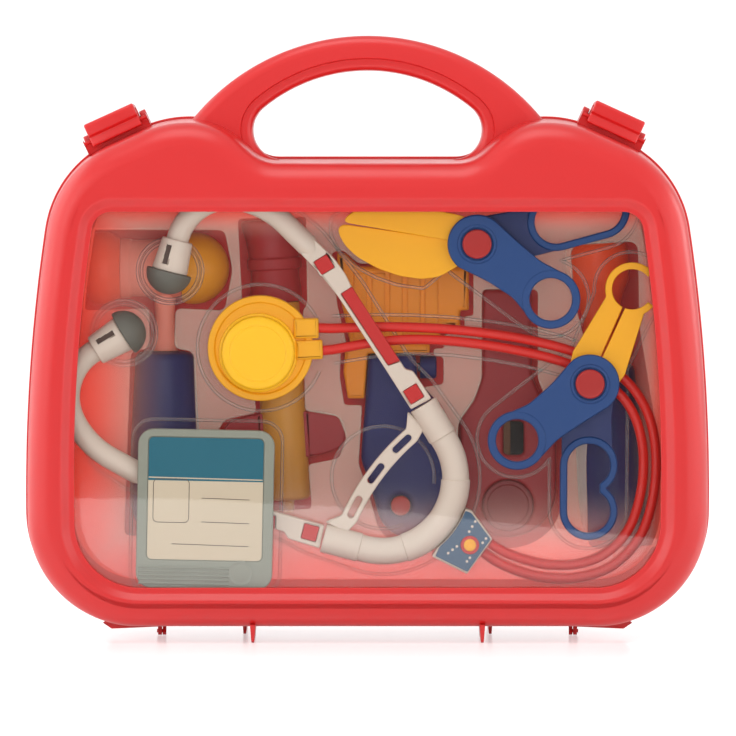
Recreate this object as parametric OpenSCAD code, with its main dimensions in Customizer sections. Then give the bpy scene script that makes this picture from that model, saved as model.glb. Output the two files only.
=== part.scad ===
// Toy doctor case: a red moulded carrying case with a window, closed by two latches, and the
// play instruments that its clear tray holds. Millimetres, +Z up, the front looks along -Y.
// The shapes are drawn in the case's face: x to the right, y up, z towards the viewer, and
// face() stands them up. Depths named w are measured from the parting plane towards the front.

/* [Case] */
// Width over the parting flange
case_w = 308; // [300:1:320]
// Depth of one shell, from the parting plane to its face
shell_d = 42; // [40:0.5:46]
// Wall of the red shells
wall = 2; // [1.6:0.1:2.6]
// Height of the shells' bottom edge over the floor, which is the height of the fins
foot_h = 4.2; // [4:0.1:6]
// Radius of the two bottom corners
corner_low_r = 52; // [48:1:56]
// Radius of the bowed sides
side_r = 800; // [700:10:1000]
// Turn of a bowed side, in degrees
side_turn = 9.2; // [8:0.1:10]
// Radius of the two upper corners
corner_top_r = 51.5; // [48:0.5:54]
// Fall of the shoulder that carries a latch, in degrees
shoulder_slope = 24.5; // [23:0.5:26]
// Length of the flat stretch of a shoulder
shoulder_flat = 14.9; // [13:0.1:17]
// Radius of the rounding of the shell's corner between side and face
face_round = 11; // [9:0.5:12]
// Play between the two shells at the parting plane
parting_gap = 0.2; // [0.1:0.05:0.4]

/* [Window] */
// Width of the window opening at its bottom corners
window_w = 260; // [250:1:264]
// Height of the opening's lower edge over the floor
window_z = 24.7; // [24:0.1:28]
// Height of the window opening
window_h = 167.6; // [160:0.1:168]
// Thickness of the clear window
pane_t = 1.4; // [1:0.1:1.6]

/* [Handle] */
// Radius of the handle's outer arc
handle_r = 101; // [98:1:103]
// Height of the outer arc's centre
handle_z = 168.8; // [167:0.1:171]
// Radius of the arc over the hand opening
grip_r = 73.6; // [70:0.1:76]
// Height of that arc's centre
grip_z = 180.7; // [179:0.1:182]
// Depth of one half of the handle
handle_half = 13.5; // [12:0.5:15]

/* [Latches and hinges] */
// Length of a latch along its shoulder
latch_w = 24; // [22:0.5:26]
// Radius of a latch's pivot pin
latch_pin_r = 1.25; // [1:0.05:1.5]
// Radius of a hinge pin
hinge_pin_r = 0.8; // [0.6:0.05:0.9]
// Distance of the hinge pins' plates from the middle
hinge_x = 90.8; // [88:0.1:94]
// Running play round every pin
pin_play = 0.06; // [0.03:0.01:0.09]

/* [Tray] */
// Depth of the front layer, from the tray's clear sheet to the shells' face
front_room = 27; // [26:0.5:28]
// Thickness of the tray's sheet
tray_t = 0.8; // [0.6:0.1:1.2]
// Gap at which pieces lie on their seats
seat_gap = 0.2; // [0.1:0.05:0.3]

/* [Stethoscope] */
// Radius of the headset ring's centre line
ring_r = 32.4; // [31:0.1:34]
// Radius of the headset ring's tube
ring_tube_r = 6; // [5.5:0.1:6.4]
// Radius of the ear tubes
ear_tube_r = 5; // [4.5:0.1:5.4]
// Radius of the chest piece
chest_r = 23.6; // [22:0.1:25]
// Radius of the chest piece's raised cap
chest_cap_r = 16.3; // [15:0.1:18]
// Radius of each red rubber tube
hose_r = 2.2; // [2:0.1:2.3]

/* [Hand tools] */
// Radius of the round boss at a pivot, and of the finger ring
boss_r = 13.1; // [12:0.1:13.4]
// Radius of the hole in the finger ring
finger_r = 9.4; // [8.5:0.1:10]
// Thickness of a lever
lever_t = 3.6; // [3:0.1:3.8]
// Thickness of a blade or jaw
blade_t = 2.2; // [1.8:0.1:2.4]
// Radius of the pivot pin of the scissors and forceps
pivot_r = 4; // [3.5:0.1:4.5]

/* [Badge holder] */
// Width of the badge holder
badge_w = 60.7; // [58:0.1:62]
// Height of the badge holder
badge_h = 71; // [69:0.1:73]
// Thickness of the badge holder
badge_t = 4.6; // [4:0.1:5]

/* [Rear instruments] */
// Radius of the hammer's and the torch's round grip
grip_tool_r = 16; // [14:0.1:16.5]
// Radius of the syringe's bore
syringe_bore_r = 8.7; // [8:0.1:9]
// Wall of the syringe
syringe_wall = 1.6; // [1.4:0.1:2]

/* [Hidden] */
$fn = 48;
eps = 0.01;

// Stands the face drawing up, so that z points to the front
module face() { rotate([90, 0, 0]) children(); }
module extrude_between(w0, w1) { translate([0, 0, w0]) linear_extrude(w1 - w0) children(); }
module both_sides() { for (side = [0, 1]) mirror([side, 0, 0]) children(); }

// An outline is a start [x, y, heading] and a chain of steps: [0, length] is straight and
// [radius, turn] is an arc, with a positive turn to the left. The inside lies on the left.
function hand(step) = step[1] < 0 ? -1 : 1;
function arc_centre(p, step) =
    [p[0] - hand(step) * step[0] * sin(p[2]), p[1] + hand(step) * step[0] * cos(p[2])];
function along(p, step, part = 1) = step[0] == 0
    ? [p[0] + part * step[1] * cos(p[2]), p[1] + part * step[1] * sin(p[2]), p[2]]
    : let (c = arc_centre(p, step), h = p[2] + part * step[1])
        [c[0] + hand(step) * step[0] * sin(h), c[1] - hand(step) * step[0] * cos(h), h];
function stops(p, chain, i = 0) =
    i == len(chain) ? [p] : concat([p], stops(along(p, chain[i]), chain, i + 1));
function reversed(list) = [for (i = [len(list) - 1 : -1 : 0]) list[i]];
function inset(p, d) = [p[0] - d * sin(p[2]), p[1] + d * cos(p[2])];
chord_play = 0.12;
function arc_parts(step) = step[0] == 0 ? 1
    : max(2, ceil(abs(step[1]) / acos(1 - chord_play / step[0]) / 2));
function outline(start, chain, d) = let (at = stops(start, chain))
    [for (i = [0 : len(chain) - 1]) let (n = arc_parts(chain[i]))
        for (k = [0 : n - 1]) inset(along(at[i], chain[i], k / n), d)];

// A loft joins rings of points in order; a ring is an outline at an inset, set at a depth
function at_depth(points, w) = [for (p = points) [p[0], p[1], w]];
module loft(rings, closed) {
    n = len(rings[0]);
    m = len(rings);
    body = [for (i = [0 : m - (closed ? 1 : 2)]) for (k = [0 : n - 1])
        let (a = i * n, b = (i + 1) % m * n, j = (k + 1) % n)
            each [[a + k, b + k, b + j], [a + k, b + j, a + j]]];
    caps = closed ? [] : [[for (k = [0 : n - 1]) k],
        [for (k = [n - 1 : -1 : 0]) (m - 1) * n + k]];
    polyhedron([for (r = rings) each r], concat(body, caps));
}

// Outline of the case at the parting plane
corner_low_turn = 89.4;
corner_top_turn = 180 - shoulder_slope - corner_low_turn - side_turn;
shoulder_r = 53.6;
neck_r = 37;
neck_turn = 42;
neck_flat = 7;
saddle_r = 15;
right_half = [
    [corner_low_r, corner_low_turn], [side_r, side_turn], [corner_top_r, corner_top_turn],
    [0, shoulder_flat], [shoulder_r, shoulder_slope], [neck_r, neck_turn], [0, neck_flat],
    [saddle_r, -neck_turn]
];
base_half = case_w / 2 - corner_low_r * sin(corner_low_turn)
    - side_r * (1 - sin(corner_low_turn));
half_stops = stops([base_half, foot_h, 0], right_half);
saddle_half = half_stops[len(right_half)][0];
saddle_y = half_stops[len(right_half)][1];
case_start = [-base_half, foot_h, 0];
case_chain = concat([[0, 2 * base_half]], right_half, [[0, 2 * saddle_half]],
    reversed(right_half));

// Outline of the window opening
window_low_r = 29;
window_side_r = 757;
window_top_r = 9;
window_low_turn = 88.5;
window_side_turn = floor(200 * asin((window_h - window_low_r * (1 - cos(window_low_turn))
    - window_top_r * 0.9) / 2 / window_side_r)) / 100;
window_top_turn = 180 - window_low_turn - window_side_turn;
window_half = window_w / 2 - window_low_r;
window_top_half = stops([window_half, window_z, 0], [[window_low_r, window_low_turn],
    [window_side_r, window_side_turn], [window_top_r, window_top_turn]])[3][0];
// Its steps match the case's one by one, so that a loft can join the two outlines
window_shoulder = (window_top_half - saddle_half)
    / (half_stops[3][0] - half_stops[len(right_half)][0]);
window_right = concat([[window_low_r, window_low_turn], [window_side_r, window_side_turn],
    [window_top_r, window_top_turn]], [for (i = [3 : len(right_half) - 1])
        [0, (half_stops[i][0] - half_stops[i + 1][0]) * window_shoulder]]);
window_start = [-window_half, window_z, 0];
window_chain = concat([[0, 2 * window_half]], window_right, [[0, 2 * saddle_half]],
    reversed(window_right));
window_at = stops(window_start, window_chain);
function case_ring(s) = at_depth(outline(case_start, case_chain, s[0]), s[1]);
function window_ring(s) = at_depth([for (i = [0 : len(case_chain) - 1])
    let (n = arc_parts(case_chain[i])) for (k = [0 : n - 1])
        inset(along(window_at[i], window_chain[i], k / n), s[0])], s[1]);

// Outline of the hand opening
opening_y = saddle_y - 1.2;
opening_r = 13;
opening_rise = opening_y + opening_r - grip_z;
opening_half = sqrt(pow(grip_r - opening_r, 2) - pow(opening_rise, 2));
opening_turn = 90 + floor(100 * atan2(opening_rise, opening_half)) / 100;
opening_start = [-opening_half, opening_y, 0];
opening_chain = [[0, 2 * opening_half], [opening_r, opening_turn],
    [grip_r, 360 - 2 * opening_turn], [opening_r, opening_turn]];

// Section of a shell: distance inwards, depth
rim_step = 1;
rim_h = 3;
draft = 1.7;
face_at = rim_step + draft;
round_parts = 6;
function rounding(r) = [for (k = [0 : round_parts]) let (a = 90 * k / round_parts)
    [face_at + face_round - r * cos(a), shell_d - face_round + r * sin(a)]];
front_skin = concat([[rim_step, parting_gap]], rounding(face_round));
front_inner = concat([[rim_step + wall, parting_gap]], rounding(face_round - wall));
rear_skin = concat([[0, 0], [0, rim_h], [rim_step, rim_h + 0.6]], rounding(face_round));
// The rear rim has a rebate for the tray's edge
rebate_d = 2.2;
rebate_w = 1.2;
rear_inner = concat([[rebate_d, 0], [rebate_d, rebate_w], [rim_step + wall, rebate_w]],
    rounding(face_round - wall));

// Sloping lip round the window: distance outwards of the opening's edge, depth
lip_w = 5.6;
lip_flat = 2.4;
lip_drop = 3;
lip_face = shell_d - lip_drop;
pane_seat = lip_face - wall;
lip = [[-lip_w, shell_d], [-lip_flat, lip_face], [0, lip_face], [0, pane_seat],
    [-lip_flat - 3, pane_seat], [-lip_w - 0.5, shell_d - wall]];

// Half of the handle, from the parting plane to the front: it is round outside, and a lower
// band with its own round edge runs round the hand opening
handle_edge = 5;
edge_parts = 5;
band_w = 4.8;
band_drop = 1.4;
band_edge = 3;
band_top = handle_half - band_drop;
module handle_disc() {
    translate([0, handle_z, 0]) rotate_extrude($fn = 96) polygon(concat(
        [[0, parting_gap / 2], [handle_r, parting_gap / 2]],
        [for (k = [0 : edge_parts]) let (a = 90 * k / edge_parts)
            [handle_r - handle_edge * (1 - cos(a)), handle_half - handle_edge * (1 - sin(a))]],
        [[0, handle_half]]));
}
function opening_ring(s) = at_depth(outline(opening_start, opening_chain, s[0]), s[1]);
module opening_cutter(depth) {
    loft(concat([opening_ring([0, -1])],
        [for (k = [0 : edge_parts]) let (a = 90 * k / edge_parts) opening_ring(
            [-band_edge * (1 - cos(a)), band_top - band_edge * (1 - sin(a))])],
        [opening_ring([-band_w, band_top]), opening_ring([-band_w - 0.9, handle_half]),
            opening_ring([-band_w - 1.5, depth])]), false);
}
module handle_half_solid() {
    difference() {
        handle_disc();
        opening_cutter(handle_half + 1);
        extrude_between(-1, shell_d) polygon(outline(case_start, case_chain, rim_step + wall / 2));
        extrude_between(-1, band_top - wall) difference() {
            translate([0, handle_z]) circle(handle_r - wall, $fn = 96);
            polygon(outline(opening_start, opening_chain, -wall));
            polygon(outline(case_start, case_chain, -wall));
        }
    }
}

// Fins that the case stands on, one pair under each shell
fin_x = 51;
fin_shift = 4.5;
fin_root = 1.4;
fin_tip = 0.6;
fin_back = 5;
module fin(x) {
    fin_front = shell_d - 3.5;
    intersection() {
        extrude_between(0, shell_d) translate([x, 0])
            polygon([[-fin_tip, 0], [fin_tip, 0], [fin_root, 10], [-fin_root, 10]]);
        translate([x - fin_root, 0, 0]) rotate([90, 0, 90]) linear_extrude(2 * fin_root)
            polygon([[0, fin_back], [0, fin_front - 2], [1.5, fin_front],
                [foot_h + face_at + 1.5, fin_front], [foot_h + face_at + 0.6, fin_front - 6],
                [foot_h + rim_step + 1, fin_back]]);
    }
}

// Hinges: a plate with a pin under the rear shell, and a plate with a bore under the front one
hinge_y = foot_h / 2 - 0.15;
hinge_plate_r = hinge_y - 0.1;
rear_plate_t = 1.6;
front_plate_t = 1.8;
plate_gap = 0.3;
hinge_pin_len = plate_gap + front_plate_t + 0.5;
module hinge_plate(x, t, rise) {
    translate([x, 0, 0]) rotate([90, 0, 90]) linear_extrude(t) union() {
        translate([hinge_y, 0]) circle(hinge_plate_r);
        polygon([[hinge_y, -hinge_plate_r], [hinge_y, hinge_plate_r],
            [rise, 3], [rise, parting_gap], [foot_h - 0.3, parting_gap],
            [hinge_y + 0.6, -hinge_plate_r + 0.6]]);
    }
}
front_plate_x = hinge_x + rear_plate_t + plate_gap;

// Puts a latch's own frame on the right shoulder: x along it, y outwards, z to the front
latch_at = along(half_stops[3], right_half[3], 0.5);
module at_latch() { translate([latch_at[0], latch_at[1], 0]) rotate(latch_at[2] - 180) children(); }
// Draws a profile of height and depth and runs it along the shoulder, centred
module bar(length, x = 0) {
    translate([x - length / 2, 0, 0]) rotate([90, 0, 90]) linear_extrude(length) children();
}
pedestal_w = 32;
latch_pivot = [3.6, -7];
ear_t = 3;
latch_play = 0.3;
ear_r = 3.2;
lip_top = 4;
lip_low = 2.6;
catch_face = 9;
catch_lip = 10.6;

module front_shell() {
    color("red") face() difference() {
        union() {
            loft(concat([for (s = front_skin) case_ring(s)], [for (s = lip) window_ring(s)],
                [for (s = reversed(front_inner)) case_ring(s)]), true);
            handle_half_solid();
            both_sides() {
                fin(fin_x);
                hinge_plate(front_plate_x, front_plate_t, foot_h + rim_step + 1);
                at_latch() catch_block();
                base_wedge();
            }
        }
        both_sides() translate([front_plate_x - 1, hinge_y, 0]) rotate([0, 90, 0])
            cylinder(r = hinge_pin_r + pin_play, h = front_plate_t + 2);
    }
}

// Catch under the latch's hook, with bevelled ends
module catch_block() {
    intersection() {
        bar(pedestal_w) polygon([[-2.2, 1], [lip_top - 0.6, 1], [lip_top, 1.6],
            [lip_top, catch_lip], [lip_low, catch_lip], [lip_low, catch_face],
            [-2.4, catch_face]]);
        extrude_between(0, catch_lip + 1) polygon([[-pedestal_w / 2, -3], [pedestal_w / 2, -3],
            [pedestal_w / 2, 0.5], [pedestal_w / 2 - 2.8, lip_top + 1],
            [-pedestal_w / 2 + 2.8, lip_top + 1], [-pedestal_w / 2, 0.5]]);
    }
}

// Shallow wedge at each end of the flat base
wedge_w = 3;
module base_wedge() {
    extrude_between(parting_gap, wedge_w) polygon([[base_half + 17.4, foot_h + 1.6],
        [base_half + 13.4, foot_h - 1.1], [base_half - 14, foot_h + 0.1],
        [base_half - 14, foot_h + rim_step + 1], [base_half + 14, foot_h + 3.9]]);
}

module window_pane() {
    pane_edge = 4.6;
    color("white", 0.35) face() extrude_between(pane_seat - pane_t, pane_seat)
        polygon(outline(window_start, window_chain, -pane_edge));
}

module rear_shell() {
    color("red") face() difference() {
        union() {
            mirror([0, 0, 1]) {
                loft([for (s = concat(reversed(rear_inner), rear_skin)) case_ring(s)], false);
                handle_half_solid();
                both_sides() {
                    fin(fin_x + fin_shift);
                    hinge_plate(hinge_x, rear_plate_t, foot_h + 1);
                }
            }
            both_sides() {
                translate([hinge_x + rear_plate_t - eps, hinge_y, 0]) rotate([0, 90, 0])
                    cylinder(r = hinge_pin_r, h = hinge_pin_len);
                at_latch() for (s = [-1, 1]) latch_ear(s);
            }
        }
        both_sides() at_latch() translate([-pedestal_w / 2, latch_pivot[0], latch_pivot[1]])
            rotate([0, 90, 0]) cylinder(r = latch_pin_r + pin_play, h = pedestal_w);
    }
}
module latch_ear(s) {
    ear_x = s * (latch_w / 2 + latch_play + ear_t / 2);
    bar(ear_t, ear_x) {
        translate(latch_pivot) circle(ear_r);
        polygon([[latch_pivot[0], latch_pivot[1] - ear_r], [latch_pivot[0], latch_pivot[1] + ear_r],
            [-2.2, latch_pivot[1] + ear_r + 1.5], [-2.6, latch_pivot[1] - ear_r - 2.5]]);
    }
}

// Latch: a barrel with its pins, a top bridge and a two-step front with a hook
latch_top = 11.2;
latch_front = 12.4;
latch_t = 2.2;
hook_low = 1.2;
module latch() {
    face() at_latch() {
        bar(latch_w) {
            translate(latch_pivot) circle(2.6);
            polygon([[latch_pivot[0], latch_pivot[1] - 2.5], [latch_pivot[0], latch_pivot[1] + 2.5],
                [latch_top - latch_t - 1, latch_pivot[1] + 1.4],
                [latch_top - latch_t, latch_pivot[1] + 2.6],
                [latch_top - latch_t, latch_front - latch_t],
                [lip_low - latch_play / 1.5, latch_front - latch_t + 0.7],
                [lip_low - latch_play / 1.5, catch_face + 0.4], [hook_low, catch_face + 0.6],
                [hook_low - 0.9, latch_front - 0.6], [hook_low - 0.6, latch_front + 1.3],
                [hook_low + 0.4, latch_front + 1.4], [4.9, latch_front + 0.5],
                [5.5, latch_front + 1.9], [latch_top - 1, latch_front + 2.4],
                [latch_top - 0.2, latch_front + 1.7], [latch_top, latch_front + 0.6],
                [latch_top - 0.5, latch_pivot[1] + 0.6], [latch_top - 2.2, latch_pivot[1] - 1]]);
        }
        translate([-latch_w / 2 - latch_play - ear_t, latch_pivot[0], latch_pivot[1]])
            rotate([0, 90, 0])
            cylinder(r = latch_pin_r, h = latch_w + 2 * latch_play + 2 * ear_t);
    }
}
module latch_right() { color("red") latch(); }
module latch_left() { color("red") mirror([1, 0, 0]) latch(); }

// Depths of the layers in front of the tray's sheet
tray_w = shell_d - front_room;
hose_w = tray_w + seat_gap + hose_r;
arm_low = tray_w + 5.2;
arm_t = 6;
headset_w = arm_low + 3;
lever_back = tray_w + 5.6;
blade_back = lever_back + lever_t;
blade_front = blade_back + blade_t + seat_gap;
lever_front = blade_front + blade_t;
rivet_seat_d = 2;
cap_back = lever_front + lever_t - rivet_seat_d + seat_gap;
cap_t = 2.2;
holder_back = headset_w + ring_tube_r + seat_gap;

// Stethoscope: its own frame has x along the headset's axis, from the ring to the ears
headset_at = [6.9, 72.2];
headset_turn = 143.3;
module at_headset() { translate(headset_at) rotate(headset_turn) children(); }
module mirrored_arms() { for (side = [0, 1]) mirror([0, side, 0]) children(); }

// The ring runs out straight towards the ears; sleeves step round its middle and its ends
sleeve_t = 0.5;
ring_half = 112;
ring_end = 19;
sleeve_from = 2.4;
sleeve_turn = 72;
module headset_ring() {
    color("white") face() at_headset() translate([0, 0, headset_w]) {
        rotate(ring_half) rotate_extrude(angle = 360 - 2 * ring_half)
            translate([ring_r, 0]) circle(ring_tube_r);
        rotate(180 - sleeve_turn / 2) rotate_extrude(angle = sleeve_turn)
            translate([ring_r, 0]) circle(ring_tube_r + sleeve_t);
        mirrored_arms() at_ring_end() {
            translate([0, 0, -eps]) cylinder(r = ring_tube_r, h = ring_end / 2);
            translate([0, 0, sleeve_from])
                cylinder(r = ring_tube_r + sleeve_t, h = ring_end - sleeve_from);
        }
    }
}
// Turns the z axis of a cylinder along the ring's straight end
module at_ring_end() {
    rotate(ring_half) translate([ring_r, 0, 0]) rotate([90, 0, 0]) children();
}

// Slotted bridge between the ring's two ends, bowed towards the ears
bridge_r = 109;
bridge_bow = 4;
bridge_w = 7.4;
bridge_t = 4;
bridge_half_turn = 15;
slot_l = 10.6;
slot_w = 3.1;
slot_turn = 9.3;
module headset_bridge() {
    color("white") face() at_headset() difference() {
        translate([bridge_bow - bridge_r, 0, headset_w - bridge_t / 2]) difference() {
            rotate(-bridge_half_turn) rotate_extrude(angle = 2 * bridge_half_turn, $fn = 120)
                translate([bridge_r - bridge_w / 2, 0]) square([bridge_w, bridge_t]);
            for (a = [-slot_turn, 0, slot_turn]) rotate(a) translate([bridge_r, 0, -1])
                linear_extrude(bridge_t + 2) slot_shape();
        }
        translate([0, 0, headset_w]) mirrored_arms() at_ring_end()
            translate([0, 0, -ring_end]) cylinder(r = ring_tube_r + sleeve_t + seat_gap / 2,
                h = 3 * ring_end);
    }
}
module slot_shape() {
    polygon([for (k = [0 : 15]) let (a = 180 * (k % 8) / 7 + (k < 8 ? 0 : 180))
        [0, (k < 8 ? 1 : -1) * (slot_l - slot_w) / 2] + slot_w / 2 * [cos(a), sin(a)]]);
}

// Arm from the ring's end to the foot of the ear tube, with windows for the red inserts
arm_knee = [16, 40.4];
arm_far = [72, 59];
insert_a = [11.8, 38.6];
insert_b = [78.2, 61];
insert_w = 7.4;
insert_turn = 22;
module arm_outline() {
    polygon([[8.6, 32.4], [28, 39.8], [65, 53.4], [78, 56.8], [89.4, 58.6], [88.2, 67.4],
        [76, 65.8], [68.4, 63.4], [62.4, 60.4], [21.4, 45.2], [18, 46.6], [4.2, 41.7]]);
}
module insert_shape(at, grow) {
    translate(at) rotate(insert_turn) square(insert_w + 2 * grow, center = true);
}
strip_play = 0.2;
strip_floor = 1.4;
module strip_shape(grow) {
    polygon([[28.6 - grow, 42 - grow], [64.4 + grow, 55.1 - grow], [62.4 + grow, 60.5],
        [25.4 - grow, 46.8]]);
}
// Space in front of the rail on which the red strip lies
module strip_space() {
    polygon([[28.6 - strip_play, 42 - strip_play], [64.6, 55 - strip_play],
        [60, 67], [20.4, 53.8]]);
}
module headset_arms() {
    color("white") face() at_headset() mirrored_arms() difference() {
        extrude_between(arm_low, arm_low + arm_t) arm_outline();
        extrude_between(arm_low + strip_floor, arm_low + arm_t + 1) {
            insert_shape(insert_a, strip_play / 2);
            insert_shape(insert_b, strip_play / 2);
            strip_space();
        }
    }
}
module arm_inserts() {
    color("red") face() at_headset() mirrored_arms()
        extrude_between(arm_low + strip_floor, arm_low + arm_t + 0.4) {
            insert_shape(insert_a, 0);
            insert_shape(insert_b, 0);
        }
}
module arm_strips() {
    color("red") face() at_headset() mirrored_arms()
        extrude_between(arm_low + strip_floor, arm_low + arm_t - 0.6) strip_shape(0);
}

// Ear tubes: a chain of arcs from the arm's tip over to the ear cap
ear_start = [89, 63.3, 8];
ear_chain = [[0, 9], [40, -34], [26, -76], [0, 0.6]];
ear_end = stops(ear_start, ear_chain)[4];
ear_cap_r = 6.8;
ear_cap_flare = 1.3;
ear_cap_len = 14.4;
ear_slot = [8.6, 3.4, 1.2];
tip_r = 9.8;
tip_at = along(ear_end, [0, ear_cap_len + seat_gap / 2]);
module ear_tubes() {
    color("white") face() at_headset() mirrored_arms() {
        translate([0, 0, headset_w]) {
            hose(at_depth(concat(outline(ear_start, ear_chain, 0), [[ear_end[0], ear_end[1]]]), 0),
                ear_tube_r, 12);
            translate([ear_end[0], ear_end[1], 0]) rotate([0, 90, ear_end[2]]) ear_cap();
        }
    }
}
// Flared cap with a slot in its front
module ear_cap() {
    difference() {
        cylinder(r1 = ear_cap_r, r2 = ear_cap_r + ear_cap_flare, h = ear_cap_len);
        translate([-ear_cap_r - ear_cap_flare, -ear_slot[1] / 2, (ear_cap_len - ear_slot[0]) / 2])
            cube([ear_slot[2] + ear_cap_flare, ear_slot[1], ear_slot[0]]);
    }
}
module ear_tips() {
    color("gray") face() at_headset() mirrored_arms() translate([0, 0, headset_w])
        translate([tip_at[0], tip_at[1], 0]) rotate([0, 90, ear_end[2]]) rotate_extrude()
            intersection() {
                circle(tip_r);
                square(tip_r + 1);
            }
}

// Yoke beside the ring, which holds the hoses, and on it a badge with a round stud
yoke_back = tray_w + seat_gap;
yoke_front = headset_w + 3.4;
plate_back = yoke_front + seat_gap / 2;
plate_t = 1.4;
stud_at = [45.6, 42.9];
stud_pin_r = 1.5;
module headset_yoke() {
    yoke_ring = ring_r + ring_tube_r + sleeve_t + seat_gap;
    color("white") face() extrude_between(yoke_back, yoke_front)
        polygon(concat(ring_points(headset_at, yoke_ring, -52, -20),
            [[46.4, 58], [55.6, 45.4], [44.4, 29.8], [28.8, 37.6]]));
}
module at_stud(w) { translate([stud_at[0], stud_at[1], w]) children(); }
module badge_plate() {
    color("royalblue") face() difference() {
        extrude_between(plate_back, plate_back + plate_t) polygon([[45.7, 57.2], [54.8, 45.4],
            [44.6, 31.2], [30.6, 38.4], [39.9, 47.7]]);
        at_stud(plate_back - 1) cylinder(r = stud_pin_r + pin_play, h = 4);
    }
}
module badge_stud() {
    color("gold") face() at_stud(0) {
        translate([0, 0, plate_back + plate_t]) cylinder(r1 = 4.2, r2 = 3.4, h = 1);
        translate([0, 0, plate_back]) cylinder(r = stud_pin_r, h = plate_t + eps);
    }
}

// Chest piece and its two hose stubs
chest_at = [-47.8, 130.4];
chest_low = tray_w + seat_gap;
chest_t = 7;
stub_r = 4.4;
stubs = [[-29, 139.6, 2], [-27.4, 129, 2]];
stub_len = 6.4;
module chest_piece_base() {
    color("gold") face() {
        translate([chest_at[0], chest_at[1], chest_low]) rotate_extrude($fn = 96)
            polygon([[0, 0], [chest_r - 1.2, 0], [chest_r, 1.2], [chest_r, chest_t - 1.6],
                [chest_r - 0.5, chest_t - 0.5], [chest_r - 1.8, chest_t], [chest_r - 3, chest_t],
                [chest_r - 3.6, chest_t - 0.8], [0, chest_t - 0.8]]);
        for (s = stubs) translate([s[0], s[1], chest_low + stub_r]) rotate([0, 90, s[2]])
            cylinder(r1 = stub_r, r2 = stub_r - 0.7, h = stub_len);
    }
}
module chest_piece_cap() {
    color("yellow") face() translate([chest_at[0] - 1, chest_at[1] - 2, chest_low + chest_t - 0.8])
        rotate_extrude($fn = 96) polygon([[0, 0], [chest_cap_r + 1.4, 0], [chest_cap_r + 1.2, 1.2],
            [chest_cap_r, 1.6], [chest_cap_r, 5], [chest_cap_r - 0.6, 6.2],
            [chest_cap_r - 1.8, 6.8], [chest_cap_r - 4, 7], [0, 7.2]]);
}

// Hoses from the chest piece round the case to the badge, on the tray: x, y, w
hose_upper_route = [
    [-22.4, 139.4, 19.2], [-16, 139.2, 18.6], [-8, 139.4, hose_w], [4, 139.8, hose_w],
    [20, 139.6, hose_w], [38, 138.6, hose_w], [56, 136.6, hose_w], [72, 134, hose_w],
    [88, 130, hose_w], [100, 125.4, hose_w], [111, 119.4, hose_w], [120, 110.6, hose_w],
    [126.4, 98, hose_w], [129, 82, hose_w], [127.8, 64, hose_w], [122, 46, hose_w],
    [110, 33, hose_w], [95, 27.6, hose_w], [80, 27.4, hose_w], [68, 30.2, hose_w],
    [58.6, 34.2, hose_w], [51.8, 38.7, hose_w]
];
hose_lower_route = [
    [-20.6, 129.2, 19.2], [-15, 129.8, 18.6], [-8, 131, hose_w], [4, 133, hose_w],
    [20, 134.2, hose_w], [38, 133.4, hose_w], [56, 131.2, hose_w], [71, 128.4, hose_w],
    [85.8, 124.6, hose_w], [97.2, 120, hose_w], [107.2, 114.2, hose_w], [115.4, 106.6, hose_w],
    [121, 95.6, hose_w], [123.4, 81.4, hose_w], [122.2, 65.4, hose_w], [117, 49.6, hose_w],
    [107, 38.6, hose_w], [94.6, 33.6, hose_w], [81.6, 33.2, hose_w], [71, 35.4, hose_w],
    [62, 38.6, hose_w], [54.9, 42.6, hose_w]
];
function unit(v) = v / norm(v);
function tangent(r, i) = unit(r[min(i + 1, len(r) - 1)] - r[max(i - 1, 0)]);
module hose(route, r, sides = 8) {
    n = len(route);
    points = [for (i = [0 : n - 1]) let (t = tangent(route, i), u = unit([-t[1], t[0], 0]),
        v = cross(t, u)) for (k = [0 : sides - 1]) let (a = 360 * k / sides)
            route[i] + r * (cos(a) * u + sin(a) * v)];
    body = [for (i = [0 : n - 2]) for (k = [0 : sides - 1])
        let (a = i * sides, b = a + sides, j = (k + 1) % sides)
            each [[a + k, b + k, b + j], [a + k, b + j, a + j]]];
    polyhedron(points, concat(body, [[for (k = [0 : sides - 1]) k]],
        [[for (k = [sides - 1 : -1 : 0]) (n - 1) * sides + k]]));
}
module hose_upper() { color("red") face() hose(hose_upper_route, hose_r); }
module hose_lower() { color("red") face() hose(hose_lower_route, hose_r); }

// Scissors and forceps: each has its pivot at the origin of a frame whose x points to its tips
scissors_at = [48.6, 177.1];
scissors_turn = 171.2;
forceps_at = [98.9, 114.9];
forceps_turn = 65.8;
module at_tool(at, turn) { translate([at[0], at[1], 0]) rotate(turn) children(); }
lever_len = 41;
front_lever_turn = 180 - 28;
back_lever_turn = 180 + 24;
loop_r = 12.9;
loop_bar = 3.3;
loop_step = 20.6;
loop_at = 47;

// Front lever: pivot boss, waisted arm and finger ring
module lever_ring_shape() {
    circle(boss_r);
    translate([lever_len, 0]) circle(boss_r);
    polygon([[0, -boss_r], [14, -10.4], [lever_len - 14, -9.6], [lever_len, -boss_r],
        [lever_len, boss_r], [lever_len - 14, 10.8], [14, 11.6], [0, boss_r]]);
}
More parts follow.
